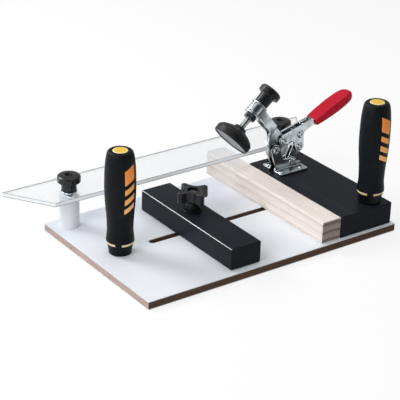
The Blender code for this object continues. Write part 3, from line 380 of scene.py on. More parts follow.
whiteLaminate = mouldedFinish("whiteLaminate", {
    "colour": (0.845, 0.875, 0.92), "shade": (0.82, 0.85, 0.905), "worn": (0.70, 0.73, 0.77),
    "rough": (0.30, 0.40), "grain": 1800.0, "patch": 16.0, "bump": 0.04, "wear": 0.1, "marks": 0.12,
    "markScale": 45.0, "dust": 0.05, "shine": 0.25})
blackSatin = mouldedFinish("blackSatin", {
    "colour": (0.0125, 0.0152, 0.0205), "shade": (0.0155, 0.0185, 0.0245), "worn": (0.09, 0.10, 0.115),
    "rough": (0.30, 0.40), "grain": 2200.0, "bump": 0.10, "wear": 0.22, "edge": 0.0008, "marks": 0.05,
    "dust": 0.02, "shine": 0.06})
blackPlastic = mouldedFinish("blackPlastic", {
    "colour": (0.0065, 0.0068, 0.0080), "shade": (0.0095, 0.0098, 0.0110), "worn": (0.08, 0.08, 0.085),
    "rough": (0.22, 0.34), "grain": 1600.0, "bump": 0.10, "wear": 0.15, "dust": 0.02, "shine": 0.4})
# Painted highlight: pale grey for the fence bar's rounded edge that leans left and up, where a lamp's
# highlight falls.
paintedHighlightEdge = mouldedFinish("paintedHighlightEdge", {
    "colour": (0.68, 0.70, 0.73), "shade": (0.56, 0.58, 0.61), "worn": (0.80, 0.81, 0.83),
    "rough": (0.25, 0.35), "grain": 1600.0, "bump": 0.06, "wear": 0.0, "dust": 0.0})
gripRubber = mouldedFinish("gripRubber", {
    "colour": (0.0022, 0.0040, 0.0060), "shade": (0.0042, 0.0062, 0.0086), "worn": (0.05, 0.05, 0.052),
    "rough": (0.40, 0.50), "grain": 2600.0, "bump": 0.16, "wear": 0.10, "dust": 0.02, "shine": 0.13})
padRubber = mouldedFinish("padRubber", {
    "colour": (0.0070, 0.0070, 0.0080), "shade": (0.0105, 0.0105, 0.0115), "worn": (0.08, 0.08, 0.08),
    "rough": (0.36, 0.50), "grain": 1400.0, "bump": 0.14, "wear": 0.2, "dust": 0.03, "shine": 0.25})
padDisc = mouldedFinish("padDisc", {
    "colour": (0.50, 0.51, 0.53), "shade": (0.42, 0.43, 0.45), "worn": (0.62, 0.62, 0.62),
    "rough": (0.55, 0.7), "grain": 1800.0, "bump": 0.25, "dust": 0.0})
whitePost = mouldedFinish("whitePost", {
    "colour": (0.87, 0.89, 0.92), "shade": (0.84, 0.865, 0.90), "worn": (0.74, 0.75, 0.77),
    "rough": (0.32, 0.44), "grain": 900.0, "patch": 60.0, "bump": 0.05, "wear": 0.15})
# The red sleeve has painted light: a glow in its own colour.
redVinyl = mouldedFinish("redVinyl", {
    "colour": (0.445, 0.006, 0.022), "shade": (0.375, 0.004, 0.018), "worn": (0.66, 0.12, 0.12),
    "rough": (0.32, 0.44), "grain": 700.0, "patch": 70.0, "bump": 0.10, "wear": 0.25, "edge": 0.0009,
    "shine": 0.15, "dust": 0.0, "paintedGlow": 0.25})
capYellow = mouldedFinish("capYellow", {
    "colour": (0.90, 0.59, 0.075), "shade": (0.84, 0.50, 0.05), "worn": (0.93, 0.75, 0.42),
    "rough": (0.35, 0.45), "edge": 0.0014, "wear": 0.9, "patch": 160.0, "dust": 0.0, "shine": 0.2})
capCream = mouldedFinish("capCream", {
    "colour": (0.98, 0.84, 0.47), "shade": (0.95, 0.78, 0.38), "worn": (0.99, 0.90, 0.62),
    "rough": (0.35, 0.45), "patch": 160.0, "dust": 0.0, "shine": 0.2})
bandGold = mouldedFinish("bandGold", {
    "colour": (0.95, 0.80, 0.46), "shade": (0.82, 0.62, 0.33), "worn": (0.98, 0.92, 0.72),
    "rough": (0.28, 0.4), "edge": 0.0009, "wear": 0.8, "patch": 160.0, "dust": 0.0})
# The sheet's cut edges: painted light as a faint glow of their own colour, and darker rubbed edges painted on
# as edge lines.
sheetEdge = mouldedFinish("sheetEdge", {
    "colour": (0.84, 0.87, 0.90), "shade": (0.78, 0.82, 0.86), "worn": (0.60, 0.63, 0.66),
    "rough": (0.25, 0.4), "grain": 900.0, "patch": 90.0, "bump": 0.1, "edge": 0.0005, "wear": 0.9,
    "marks": 0.15, "dust": 0.0, "paintedGlow": 0.25})
# Painted shade and light: dark to pale lines on the clear sheet's arrises and lower edge band, varying along
# its length, stand in for the lines its edges show.
sheetArris = mouldedFinish("sheetArris", {
    "colour": (0.10, 0.105, 0.115), "shade": (0.62, 0.64, 0.66), "worn": (0.34, 0.36, 0.38),
    "rough": (0.25, 0.4), "grain": 900.0, "patch": 9.0, "bump": 0.1, "wear": 0.0, "dust": 0.0})
zincSteel = makeSteel("zincSteel", {})
darkSteel = makeSteel("darkSteel", {"bright": (0.13, 0.14, 0.15, 1), "dull": (0.09, 0.10, 0.11, 1),
                                    "edge": (0.40, 0.42, 0.45, 1)})
paleWood = makePaleWood(woodLook)
fibreboard = makeFibreboard(fibreLook)
clearSheet = makeClearSheet(sheetLook)
gripOrange = makeGripOrange(windowLook)
print("finishes made")


def arcPoints(centre, radius, start, end, count=24):
    angles = [math.radians(start + (end - start) * k / count) for k in range(count + 1)]
    return [(centre[0] + radius * math.cos(a), centre[1] + radius * math.sin(a)) for a in angles]


def circlePoints(centre, radius, count=40):
    return arcPoints(centre, radius, 0, 360 - 360 / count, count - 1)


def stadiumPoints(start, end, radius, count=16):
    along = math.degrees(math.atan2(end[1] - start[1], end[0] - start[0]))
    return (arcPoints(start, radius, along + 90, along + 270, count)
            + arcPoints(end, radius, along - 90, along + 90, count))


def roundCorners(points, closed=True, count=5):  # points as (x, y) or (x, y, corner radius)
    rounded = []
    for k, point in enumerate(points):
        radius = point[2] if len(point) > 2 else 0.0
        if radius <= 0 or (not closed and k in (0, len(points) - 1)):
            rounded.append(point[:2])
            continue
        here = Vector(point[:2])
        toLast = Vector(points[k - 1][:2]) - here
        toNext = Vector(points[(k + 1) % len(points)][:2]) - here
        half = toLast.angle(toNext) / 2
        reach = min(radius / math.tan(half), 0.48 * toLast.length, 0.48 * toNext.length)
        toLast.normalize()
        toNext.normalize()
        centre = here + (toLast + toNext).normalized() * (reach / math.cos(half))
        first = here + toLast * reach - centre
        last = here + toNext * reach - centre
        sweep = first.angle_signed(last)  # clockwise is positive
        start = math.atan2(first.y, first.x)
        for step in range(count + 1):
            angle = start - sweep * step / count
            rounded.append((centre.x + first.length * math.cos(angle),
                            centre.y + first.length * math.sin(angle)))
    return rounded


def closeMesh(body, name):
    bmesh.ops.recalc_face_normals(body, faces=body.faces)
    mesh = bpy.data.meshes.new(name)
    body.to_mesh(mesh)
    body.free()
    return mesh


def loftMesh(rows, wrap=False):  # rings of points joined in order, with lids unless they wrap
    body = bmesh.new()
    rings = [[body.verts.new(Vector(point) * mm) for point in row] for row in rows]
    count = len(rings[0])
    pairs = list(zip(rings, rings[1:]))
    if wrap:
        pairs.append((rings[-1], rings[0]))
    for low, high in pairs:
        for k in range(count):
            after = (k + 1) % count
            body.faces.new((low[k], low[after], high[after], high[k]))
    if not wrap:
        for ring in (rings[0], rings[-1]):
            if (ring[0].co - ring[count // 2].co).length > tiny:
                body.faces.new(ring)
    bmesh.ops.remove_doubles(body, verts=body.verts, dist=tiny / 5)
    return closeMesh(body, "loft")


def ringRow(radius, height, steps=72):
    angles = [2 * math.pi * k / steps for k in range(steps)]
    if callable(radius):
        return [(radius(a, height) * math.cos(a), radius(a, height) * math.sin(a), height) for a in angles]
    return [(radius * math.cos(a), radius * math.sin(a), height) for a in angles]


def turnedMesh(profile, steps=72, wrap=False):  # profile as (radius, height, corner radius)
    return loftMesh([ringRow(radius, height, steps) for radius, height in roundCorners(profile, wrap)], wrap)


def plateMesh(outlines, low, high, upright=False):  # flat outlines with thickness, holes after the edge
    body = bmesh.new()
    rings = []
    for outline in outlines:
        ring = [body.verts.new((x * mm, y * mm, low * mm)) for x, y in outline]
        for a, b in zip(ring, ring[1:] + ring[:1]):
            body.edges.new((a, b))
        rings.append(ring)
    bmesh.ops.triangle_fill(body, use_beauty=True, use_dissolve=False, edges=body.edges[:])
    lid = [face.verts[:] for face in body.faces]
    lifted = {vert: body.verts.new((vert.co.x, vert.co.y, high * mm)) for vert in body.verts[:]}
    for corners in lid:
        body.faces.new([lifted[vert] for vert in corners])
    for ring in rings:
        for a, b in zip(ring, ring[1:] + ring[:1]):
            body.faces.new((a, b, lifted[b], lifted[a]))
    if upright:  # drawn in X and Z, thick along Y
        swapped = Matrix(((1, 0, 0), (0, 0, 1), (0, 1, 0))).to_4x4()
        bmesh.ops.transform(body, matrix=swapped, verts=body.verts)
    return closeMesh(body, "plate")


def insetOutline(outline, inset):
    moved = []
    for k, (x, y) in enumerate(outline):
        before, after = outline[k - 1], outline[(k + 1) % len(outline)]
        out = Vector((after[1] - before[1], before[0] - after[0])).normalized()
        moved.append((x - out.x * inset, y - out.y * inset))
    return moved


def stickMesh(section, length, edge):  # a section in X and Z run along Y, with softened ends
    ends = [(edge * (1 - math.sin(a)), edge * (1 - math.cos(a))) for a in (0.0, 0.5, 1.0, math.pi / 2)]
    rows = [[(x, y, z) for x, z in insetOutline(section, inset)] for inset, y in ends]
    rows += [[(x, length - y, z) for x, z in insetOutline(section, inset)] for inset, y in reversed(ends)]
    return loftMesh(rows)


def roundedBoxMesh(low, high, radius, segments=4):
    body = bmesh.new()
    size = [(b - a) * mm for a, b in zip(low, high)]
    centre = [(a + b) / 2 * mm for a, b in zip(low, high)]
    spot = Matrix.Translation(centre) @ Matrix.Diagonal((*size, 1.0))
    bmesh.ops.create_cube(body, size=1.0, matrix=spot)
    bmesh.ops.bevel(body, geom=body.edges[:], offset=radius * mm, segments=segments, profile=0.5,
                    affect="EDGES")
    return closeMesh(body, "box")


def cutMesh(mesh, tool, operation="DIFFERENCE"):
    target = bpy.data.objects.new("cutTarget", mesh)
    cutter = bpy.data.objects.new("cutTool", tool)
    for item in (target, cutter):
        bpy.context.scene.collection.objects.link(item)
    step = target.modifiers.new("cut", "BOOLEAN")
    step.operation = operation
    step.object = cutter
    bpy.context.view_layer.update()
    result = bpy.data.meshes.new_from_object(target.evaluated_get(bpy.context.evaluated_depsgraph_get()))
    for item in (target, cutter):
        bpy.data.objects.remove(item, do_unlink=True)
    return result


def reshape(mesh, move, cuts):  # cut across at each place, then move every point, in millimetres
    body = bmesh.new()
    body.from_mesh(mesh)
    for place, direction in cuts:
        geometry = body.verts[:] + body.edges[:] + body.faces[:]
        bmesh.ops.bisect_plane(body, geom=geometry, plane_co=Vector(direction) * place * mm,
                               plane_no=direction, dist=tiny)
    for vert in body.verts:
        vert.co = Vector(move(*(vert.co / mm))) * mm
    return closeMesh(body, "reshaped")


def joinMeshes(meshes, weld=0.0):
    body = bmesh.new()
    for mesh in meshes:
        body.from_mesh(mesh)
    if weld:
        bmesh.ops.remove_doubles(body, verts=body.verts, dist=weld * mm)
    return closeMesh(body, "joined")


def placed(axes, x=0.0, y=0.0, z=0.0, turnY=0.0, turnZ=0.0, turnX=0.0):
    turn = Matrix.Rotation(math.radians(turnZ), 4, "Z") @ Matrix.Rotation(math.radians(turnY), 4, "Y")
    spot = axes @ Matrix.Translation(Vector((x, y, z)) * mm) @ turn
    return spot @ Matrix.Rotation(math.radians(turnX), 4, "X")


def makePiece(name, mesh, finish, body, stands, axes=sledAxes, soften=0.0, segments=3):
    piece = bpy.data.objects.new(name, mesh)
    bpy.context.scene.collection.objects.link(piece)
    mesh.name = name
    mesh.materials.clear()
    mesh.materials.append(finish)
    mesh.shade_smooth()
    if soften:
        edges = piece.modifiers.new("softEdges", "BEVEL")
        edges.width = soften * mm
        edges.segments = segments
        edges.limit_method = "ANGLE"
        edges.angle_limit = crease
        edges.use_clamp_overlap = False
        edges.loop_slide = False
        edges.harden_normals = True
    else:
        mesh.set_sharp_from_angle(angle=crease)
        flat = piece.modifiers.new("flatFaces", "WEIGHTED_NORMAL")
        flat.keep_sharp = True
    spot = Matrix.Translation(axes.to_translation())
    mesh.transform(spot.inverted() @ axes)  # drawn along the sled's own directions
    piece.matrix_world = spot
    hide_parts(*stands)
    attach(piece, body)
    return piece


# Board: white skins on a fibreboard core, with the fence slot and the holes for bolts and screws.
board = {"length": 330.2, "width": 209.3, "thickness": 9.0, "skin": 0.8, "corner": 0.7, "edge": 0.2,
         "slot": ((77.0, 109.0), (230.0, 109.0)), "recess": 4.6,
         "through": {"slot": 4.2, "bolt": 4.2, "stud": 3.2, "screw": 2.5},  # radii
         "heads": {"slot": 6.0, "bolt": 6.9, "stud": 5.4, "screw": 5.1}}
gripPlaces = {"left": (34.5, 107.5), "right": (307.2, 20.1)}
postPlaces = {"left": (21.1, 190.3), "right": (312.3, 190.3)}
blockScrews = [(268.0, 45.0), (313.0, 90.0), (268.0, 160.0)]
backerScrews = [(241.8, 30.0), (241.8, 178.0)]


def boardHoles(radii):
    holes = [stadiumPoints(*board["slot"], radii["slot"])]
    for kind, places in (("bolt", gripPlaces.values()), ("stud", postPlaces.values()),
                         ("screw", blockScrews + backerScrews)):
        holes += [circlePoints(place, radii[kind]) for place in places]
    return holes


def makeBoard():
    length, width, corner = board["length"], board["width"], board["corner"]
    edge = roundCorners([(0, 0, corner), (length, 0, corner), (length, width, corner), (0, width, corner)])
    through, heads = boardHoles(board["through"]), boardHoles(board["heads"])
    skin, top = board["skin"], board["thickness"]
    core = plateMesh([edge] + through, skin, top - skin)
    core = cutMesh(core, plateMesh(heads, -1.0, board["recess"]))
    makePiece("boardCore", core, fibreboard, "root", ["board_core"])
    skins = (("boardTopSkin", "board_top_laminate", through, top - skin, top),
             ("boardLowSkin", "board_bottom_laminate", heads, 0.0, skin))
    for name, node, holes, low, high in skins:
        makePiece(name, plateMesh([edge] + holes, low, high), whiteLaminate, "root", [node],
                  soften=board["edge"], segments=2)


makeBoard()
print("board made")


# Screws, bolts and nuts.
crossRecess = {"arm": 0.80, "reach": 0.70, "depth": 0.85}  # arm half width, the rest as shares of the head
hexEnd = {"share": 0.97, "slope": 1.7, "bore": 0.5,  # chamfered ends of hex heads and nuts
          "headRows": (0.1, 0.2, 0.3, 0.45, 1.0), "nutRows": (0.06, 0.12, 0.18, 0.5, 0.82, 0.88, 0.94)}
thread = {"taper": 0.9, "perTurn": 6, "steps": 36, "runOut": 0.2}
boltSize = {"corner": 6.5, "low": 0.5, "high": 4.1, "shank": 3.9, "pitch": 1.25, "depth": 0.45}
studSize = {**boltSize, "corner": 5.0, "shank": 2.9, "pitch": 1.0, "depth": 0.35}
woodScrew = {"head": 4.5, "height": 3.4, "shank": 2.2, "length": 20.0, "point": 4.0, "seat": 4.0}
flangeScrew = {"head": 3.6, "height": 1.8, "shank": 2.0, "length": 13.0, "point": 2.0, "gap": 0.02}


def hexFlat(corner):
    return corner * math.cos(math.pi / 6)


def hexRadius(corner, depthAt):  # depthAt: how far a height is from the chamfered end
    flat = hexFlat(corner)

    def radius(angle, height):
        local = (angle % (math.pi / 3)) - math.pi / 6
        return min(flat / math.cos(local), flat * hexEnd["share"] + depthAt(height) * hexEnd["slope"])
    return radius


def threadRows(radius, pitch, depth, low, high):
    taper = thread["taper"]

    def atPoint(angle, height):
        turn = (height / pitch - angle / (2 * math.pi)) % 1.0
        groove = depth * abs(2 * turn - 1)
        ends = max(0.0, taper - (height - low), taper - (high - height))  # tapered at both ends
        return radius - max(groove, ends * taper)

    count = round((high - low) / pitch * thread["perTurn"])
    return [ringRow(atPoint, low + (high - low) * k / count, thread["steps"]) for k in range(count + 1)]


def hexBoltMesh(size, top, threadFrom):
    low, high, shank, steps = size["low"], size["high"], size["shank"], thread["steps"]
    head = hexRadius(size["corner"], lambda height: height - low)
    rows = [ringRow(0.0, low, steps), ringRow(hexFlat(size["corner"]) * hexEnd["share"], low, steps)]
    rows += [ringRow(head, low + (high - low) * share, steps) for share in hexEnd["headRows"]]
    rows += [ringRow(shank, high, steps), ringRow(shank, threadFrom - thread["runOut"], steps)]
    rows += threadRows(shank, size["pitch"], size["depth"], threadFrom, top)
    rows.append(ringRow(0.0, top, steps))
    return loftMesh(rows)


def nutMesh(corner, low, high, bore):
    flat = hexFlat(corner) * hexEnd["share"]
    middle, half = (low + high) / 2, (high - low) / 2
    shape = hexRadius(corner, lambda height: half - abs(height - middle))
    inward = (bore, bore + hexEnd["bore"], flat)
    rows = [ringRow(radius, low) for radius in inward]
    rows += [ringRow(shape, low + (high - low) * share) for share in hexEnd["nutRows"]]
    rows += [ringRow(radius, high) for radius in reversed(inward)]
    return loftMesh(rows, wrap=True)


def crossMesh(headRadius, low, high):
    arm = crossRecess["arm"]
    reach = headRadius * crossRecess["reach"]
    outline = [(arm, arm), (arm, reach), (-arm, reach), (-arm, arm), (-reach, arm), (-reach, -arm),
               (-arm, -arm), (-arm, -reach), (arm, -reach), (arm, -arm), (reach, -arm), (reach, arm)]
    return plateMesh([outline], low, high)


def screwMesh(size):  # head up, its underside at zero
    head, tall, shank, length = size["head"], size["height"], size["shank"], size["length"]
    profile = [(0.0, tall), (head * 0.45, tall * 0.97, 1.0), (head * 0.86, tall * 0.62, 0.8),
               (head, 0.15, 0.1), (head * 0.98, 0.0), (shank, 0.0), (shank, size["point"] - length),
               (0.0, -length)]
    recess = crossMesh(head, tall - tall * crossRecess["depth"], tall + 1.0)
    return cutMesh(turnedMesh(profile, 48), recess)


def makeWoodScrews():
    mesh = screwMesh(woodScrew)
    for kind, places in (("block", blockScrews), ("backer", backerScrews)):
        for number, (x, y) in enumerate(places, 1):
            axes = placed(sledAxes, x, y, woodScrew["seat"], turnX=180)
            makePiece(f"{kind}Screw{number}", mesh.copy(), zincSteel, "root", [f"{kind}_screw_{number}"],
                      axes)


makeWoodScrews()
print("screws under the board made")


# Fixed side: black block and pale wooden backer.
block = {"low": (254.9, 4.3, 9.05), "high": (326.9, 173.3, 34.8), "edge": 1.3}
backer = {"left": 228.8, "right": 254.6, "front": 5.6, "length": 216.4, "bottom": 9.05, "top": 34.1,
          "edges": (0.8, 0.8, 0.9, 1.7), "endEdge": 0.6}  # edges: low left, low right, top right, top left


def makeFixedSide():
    body = roundedBoxMesh(block["low"], block["high"], block["edge"])
    makePiece("fenceBlock", body, blackSatin, "root", ["fixed_fence_block"])
    wide = backer["right"] - backer["left"]
    tall = backer["top"] - backer["bottom"]
    corners = zip((0, wide, wide, 0), (0, 0, tall, tall), backer["edges"])
    stick = stickMesh(roundCorners(list(corners), count=6), backer["length"], backer["endEdge"])
    axes = placed(sledAxes, backer["left"], backer["front"], backer["bottom"])
    makePiece("woodBacker", stick, paleWood, "root", ["wood_backer"], axes)


makeFixedSide()
print("fence block and backer made")


# Sliding fence with its star knob, drawn round its bolt.
fence = {"bolt": (128.8, 109.0), "left": -20.1, "width": 38.9, "front": -100.5, "length": 171.6,
         "bottom": 9.05, "top": 34.0, "edge": 1.6, "boltTop": 56.1, "boltThread": 44.0,
         "highlightLean": 0.6,  # how far a face leans left and up to take the painted highlight
         "washer": [(4.3, 36.0, 0.2), (11.0, 36.0, 0.5), (12.0, 35.0, 0.4), (12.0, 34.05, 0.2),
                    (4.3, 34.05, 0.2)],
         "insert": [(4.2, 54.8, 0.3), (5.6, 54.8, 0.4), (5.6, 36.1, 0.2), (4.2, 36.1, 0.2)]}
star = {"low": 36.1, "top": 58.3, "lobe": 12.2, "neck": 9.5, "tipRadius": 4.0, "tipDistance": 15.5,
        "hollowRadius": 12.0, "hole": 5.9, "edge": 0.9, "dish": 0.7}
fenceAxes = placed(sledAxes, *fence["bolt"])


def starOutline():  # four blunt tips joined by hollow arcs
    tip, hollow, distance = star["tipRadius"], star["hollowRadius"], star["tipDistance"]
    half = distance * math.cos(math.pi / 4)
    centre = half + math.sqrt(half ** 2 - distance ** 2 + (tip + hollow) ** 2)
    lean = math.degrees(math.atan2(centre * math.sin(math.pi / 4), centre * math.cos(math.pi / 4) - distance))
    outline = []
    for turn in (0, 90, 180, 270):
        tipCentre = arcPoints((0, 0), distance, turn, turn, 1)[0]
        hollowCentre = arcPoints((0, 0), centre, turn + 45, turn + 45, 1)[0]
        outline += arcPoints(tipCentre, tip, turn - lean, turn + lean, 16)
        outline += arcPoints(hollowCentre, hollow, turn + lean + 180, turn + 270 - lean, 20)[1:-1]
    return outline


def starKnobMesh():
    outline = starOutline()
    around = [math.atan2(y, x) for x, y in outline]
    low, top, edge, dish, neck, hole = (star[size] for size in ("low", "top", "edge", "dish", "neck", "hole"))
    under = top - star["lobe"]

    def ring(radius, height):
        return [(radius * math.cos(a), radius * math.sin(a), height) for a in around]

    def rim(inset, height):
        return [(x, y, height) for x, y in insetOutline(outline, inset)]

    def between(share, height):
        pairs = zip(ring(hole, 0.0), rim(edge * 1.8, 0.0))
        return [(a[0] + (b[0] - a[0]) * share, a[1] + (b[1] - a[1]) * share, height) for a, b in pairs]

    rows = [ring(hole, low), ring(neck - 0.5, low), ring(neck, low + 0.5), ring(neck - 0.3, under - 1.4),
            ring(neck + 0.1, under - 0.5), ring(neck + 0.8, under)]
    rows += [rim(edge * (1 - math.sin(a)), under + edge * (1 - math.cos(a)))
             for a in (0.0, 0.5, 1.0, math.pi / 2)]
    rows += [rim(edge * 0.35 + edge * (1 - math.cos(a)), top - edge * (1 - math.sin(a)))
             for a in (0.0, 0.4, 0.8, 1.2, math.pi / 2)]
    rows += [rim(edge * 1.8, top - 0.12), between(0.86, top - dish * 0.75), between(0.6, top - dish),
             between(0.42, top - dish * 0.9)]
    rows += [ring(hole + 1.7, top - dish * 0.75), ring(hole + 1.3, top - 0.25), ring(hole + 0.8, top - 0.1),
             ring(hole + 0.3, top - 0.25), ring(hole, top - 0.7)]
    return loftMesh(rows, wrap=True)


def makeFence():
    left, front = fence["left"], fence["front"]
    low = (left, front, fence["bottom"])
    high = (left + fence["width"], front + fence["length"], fence["top"])
    bar = roundedBoxMesh(low, high, fence["edge"], 3)
    washer = turnedMesh(fence["washer"], wrap=True)
    bolt = hexBoltMesh(boltSize, fence["boltTop"], fence["boltThread"])
    insert = turnedMesh(fence["insert"], 48, wrap=True)
    for name, mesh, finish, body, node, slotName in (
            ("fenceBar", bar, blackSatin, "sliding_fence", "sliding_fence_bar", "black_satin"),
            ("fenceWasher", washer, gripRubber, "sliding_fence", "fence_washer", "black_plastic"),
            ("fenceBolt", bolt, darkSteel, "sliding_fence", "fence_bolt", "zinc_steel"),
            ("starKnob", starKnobMesh(), blackPlastic, "fence_knob", "star_knob", "black_plastic"),
            ("starKnobInsert", insert, darkSteel, "fence_knob", "star_knob_insert", "zinc_steel")):
        makePiece(name, mesh, finish, body, [node], fenceAxes)
    # painted highlight along the bar's left top edge
    bar.materials.append(paintedHighlightEdge)
    for face in bar.polygons:
        face.material_index = 1 if max(face.normal.x, -face.normal.z) < -fence["highlightLean"] else 0


makeFence()
print("sliding fence made")


# Hand grips: black sleeve with orange windows, a yellow end disc and gold bands.
grip = {"profile": [(0.9, 12.35), (6.0, 13.0), (11.0, 14.1), (13.5, 15.0), (15.5, 15.3), (20.0, 14.9),
                    (28.0, 14.2), (45.0, 14.9), (62.0, 16.4), (78.0, 16.9), (95.0, 16.6), (106.0, 15.8),
                    (113.0, 14.8), (116.2, 13.9), (117.7, 12.8), (118.4, 11.4), (118.5, 10.0), (118.55, 9.0)],
        "foot": [(12.1, 0.35), (11.5, 0.0), (0.0, 0.0)], "top": 118.7, "capRadius": 8.3, "capDepth": 2.0,
        "ring": 6.7, "feet": {"left": 9.05, "right": 34.85}, "turns": {"left": 6.0, "right": 184.0},
        "windows": [(83.5, 16.8), (72.2, 6.8), (60.8, 6.8), (50.4, 6.4)],  # low edge and height
        "windowHalf": 6.3, "windowRise": 6.6, "windowCorner": 0.7, "band": (12.1, 15.5), "bandArc": 65.0,
        "bandCorner": 0.5, "proud": 0.12, "rim": 0.4, "rimSpan": (-0.15, 0.5), "rimRoom": 0.3,
        "inlayDepth": 1.6, "boltReach": 20.0, "boltThread": 3.0}


def smoothCurve(points, share=6):  # Catmull-Rom through the points
    padded = [points[0]] + points + [points[-1]]
    smooth = []
    for a, b, c, d in zip(padded, padded[1:], padded[2:], padded[3:]):
        for k in range(share):
            t = k / share
            smooth.append(tuple(0.5 * (2 * q + (r - p) * t + (2 * p - 5 * q + 4 * r - s) * t * t
                                       + (3 * q - p - 3 * r + s) * t ** 3) for p, q, r, s in zip(a, b, c, d)))
    return smooth + [points[-1]]


gripCurve = smoothCurve(grip["profile"])


def gripRadius(height):
    for (low, a), (high, b) in zip(gripCurve, gripCurve[1:]):
        if height <= high:
            return a + (b - a) * (height - low) / (high - low)
    return gripCurve[-1][1]


def smoothStep(low, high, value):
    t = min(1.0, max(0.0, (value - low) / (high - low)))
    return t * t * (3 - 2 * t)


def insideRounded(x, y, halfX, halfY, corner):  # depth inside a rectangle with round corners
    qx, qy = abs(x) - halfX + corner, abs(y) - halfY + corner
    return corner - math.hypot(max(qx, 0.0), max(qy, 0.0)) - min(max(qx, qy), 0.0)


def inlayMesh(columns, rows, pointAt):  # pointAt gives angle, height and depth inside the edge
    body = bmesh.new()
    grids = []
    for sunk in (0.0, grip["inlayDepth"]):
        grid = []
        for j in range(rows + 1):
            line = []
            for k in range(columns + 1):
                angle, height, depth = pointAt(k / columns, j / rows)
                rise = (grip["proud"] + grip["rim"]) * smoothStep(*grip["rimSpan"], depth) - grip["rim"]
                radius = gripRadius(height) + rise - sunk
                point = Vector((radius * math.cos(angle), radius * math.sin(angle), height))
                line.append(body.verts.new(point * mm))
            grid.append(line)
        grids.append(grid)
    outer, inner = grids
    for grid in grids:
        for j in range(rows):
            for k in range(columns):
                body.faces.new((grid[j][k], grid[j][k + 1], grid[j + 1][k + 1], grid[j + 1][k]))
    edge = ([(0, k) for k in range(columns)] + [(j, columns) for j in range(rows)]
            + [(rows, k) for k in range(columns, 0, -1)] + [(j, 0) for j in range(rows, 0, -1)])
    for (j, k), (m, n) in zip(edge, edge[1:] + edge[:1]):
        body.faces.new((outer[j][k], outer[m][n], inner[m][n], inner[j][k]))
    return closeMesh(body, "inlay")


def windowMesh(low, tall, side):
    half, rise, room = grip["windowHalf"], grip["windowRise"], grip["rimRoom"]

    def pointAt(u, v):
        x = (2 * u - 1) * (half + room)
        local = (2 * v - 1) * (tall / 2 + room)
        height = low + tall / 2 + local + rise * (x + half) / (2 * half)
        sweep = math.asin(x / gripRadius(height))
        angle = side * (math.pi / 2 - sweep)
        return angle, height, insideRounded(x, local, half, tall / 2, grip["windowCorner"])
    return inlayMesh(48, max(24, round(tall * 3)), pointAt)


def bandMesh(turn):
    low, high = grip["band"]
    half = math.radians(grip["bandArc"] / 2)
    arm = half * gripRadius((low + high) / 2)
    room = grip["rimRoom"]

    def pointAt(u, v):
        along = (2 * u - 1) * (arm + room)
        local = (2 * v - 1) * ((high - low) / 2 + room)
        depth = insideRounded(along, local, arm, (high - low) / 2, grip["bandCorner"])
        return math.radians(turn) + along / arm * half, (low + high) / 2 + local, depth
    return inlayMesh(60, 16, pointAt)


def gripSleeveMesh():
    top, seat = grip["top"], grip["capRadius"] + 0.2
    profile = [(0.0, top - 2.2), (seat, top - 2.2), (seat, top - 0.5)]
    profile += [(radius, height) for height, radius in reversed(gripCurve)] + grip["foot"]
    return loftMesh([ringRow(radius, height, 96) for radius, height in profile])


def gripCapMesh():
    top, cap = grip["top"], grip["capRadius"]
    low = top - grip["capDepth"]
    return turnedMesh([(0.0, top), (grip["ring"], top - 0.02), (cap - 1.0, top - 0.06, 0.8),
                       (cap - 0.5, top - 0.18, 0.4), (cap, top - 0.8, 0.3), (cap, low), (0.0, low)], 64)


def makeGrip(side):
    axes = placed(sledAxes, *gripPlaces[side], grip["feet"][side], turnZ=grip["turns"][side])
    makePiece(f"{side}GripSleeve", gripSleeveMesh(), gripRubber, "root", [f"{side}_grip_sleeve"],
              axes)
    windows = joinMeshes([windowMesh(*window, turn) for window in grip["windows"] for turn in (-1, 1)])
    bands = joinMeshes([bandMesh(turn) for turn in (0, 90, 180, 270)])
    cap = gripCapMesh()
    for name, mesh, finish in (("Windows", windows, gripOrange), ("Band", bands, bandGold),
                               ("Cap", cap, capYellow)):
        makePiece(f"{side}Grip{name}", mesh, finish, "root", [f"{side}_grip_core"], axes)
    cap.materials.append(capCream)
    for face in cap.polygons:
        face.material_index = 1 if face.center.xy.length > grip["ring"] * mm else 0
    boltTop = grip["feet"][side] + grip["boltReach"]
    bolt = hexBoltMesh(boltSize, boltTop, boltTop - grip["boltThread"])
    makePiece(f"{side}GripBolt", bolt, zincSteel, "root", [f"{side}_grip_bolt"],
              placed(sledAxes, *gripPlaces[side]))


for side in ("left", "right"):
    makeGrip(side)
print("hand grips made")


# Guide: clear plate on two white posts, held by round knobs.
guide = {"low": 42.3, "high": 47.3, "front": 177.4, "back": 233.19, "backX": (-39.0, 371.0),
         "frontX": (-3.5, 333.5), "tip": 2.0, "frontCorner": 1.5, "backCorner": 0.5, "slotHalf": 6.0,
         "slotRadius": 3.5, "arris": 0.55, "studTop": 65.8, "studThread": 42.0, "knobLow": 52.3,
         "knobBore": 3.2, "slotCut": 5.0, "flatLevel": 0.9, "arrisLevel": 0.3,
         "post": [(3.3, 42.2, 0.2), (11.2, 42.2, 0.7), (11.2, 9.05, 0.4), (3.3, 9.05, 0.2)],
         "washer": [(3.2, 52.1, 0.15), (9.2, 52.1, 0.4), (9.2, 50.3, 0.3), (6.5, 50.0, 0.3), (6.2, 47.6, 0.2),
                    (3.2, 47.6, 0.15)]}
knob = {"cap": 13.0, "capHeight": 8.5, "shank": 8.6, "guideHeight": 18.6, "spindleHeight": 21.4, "dish": 4.6,
        "dishDepth": 3.2, "bore": 14.2}


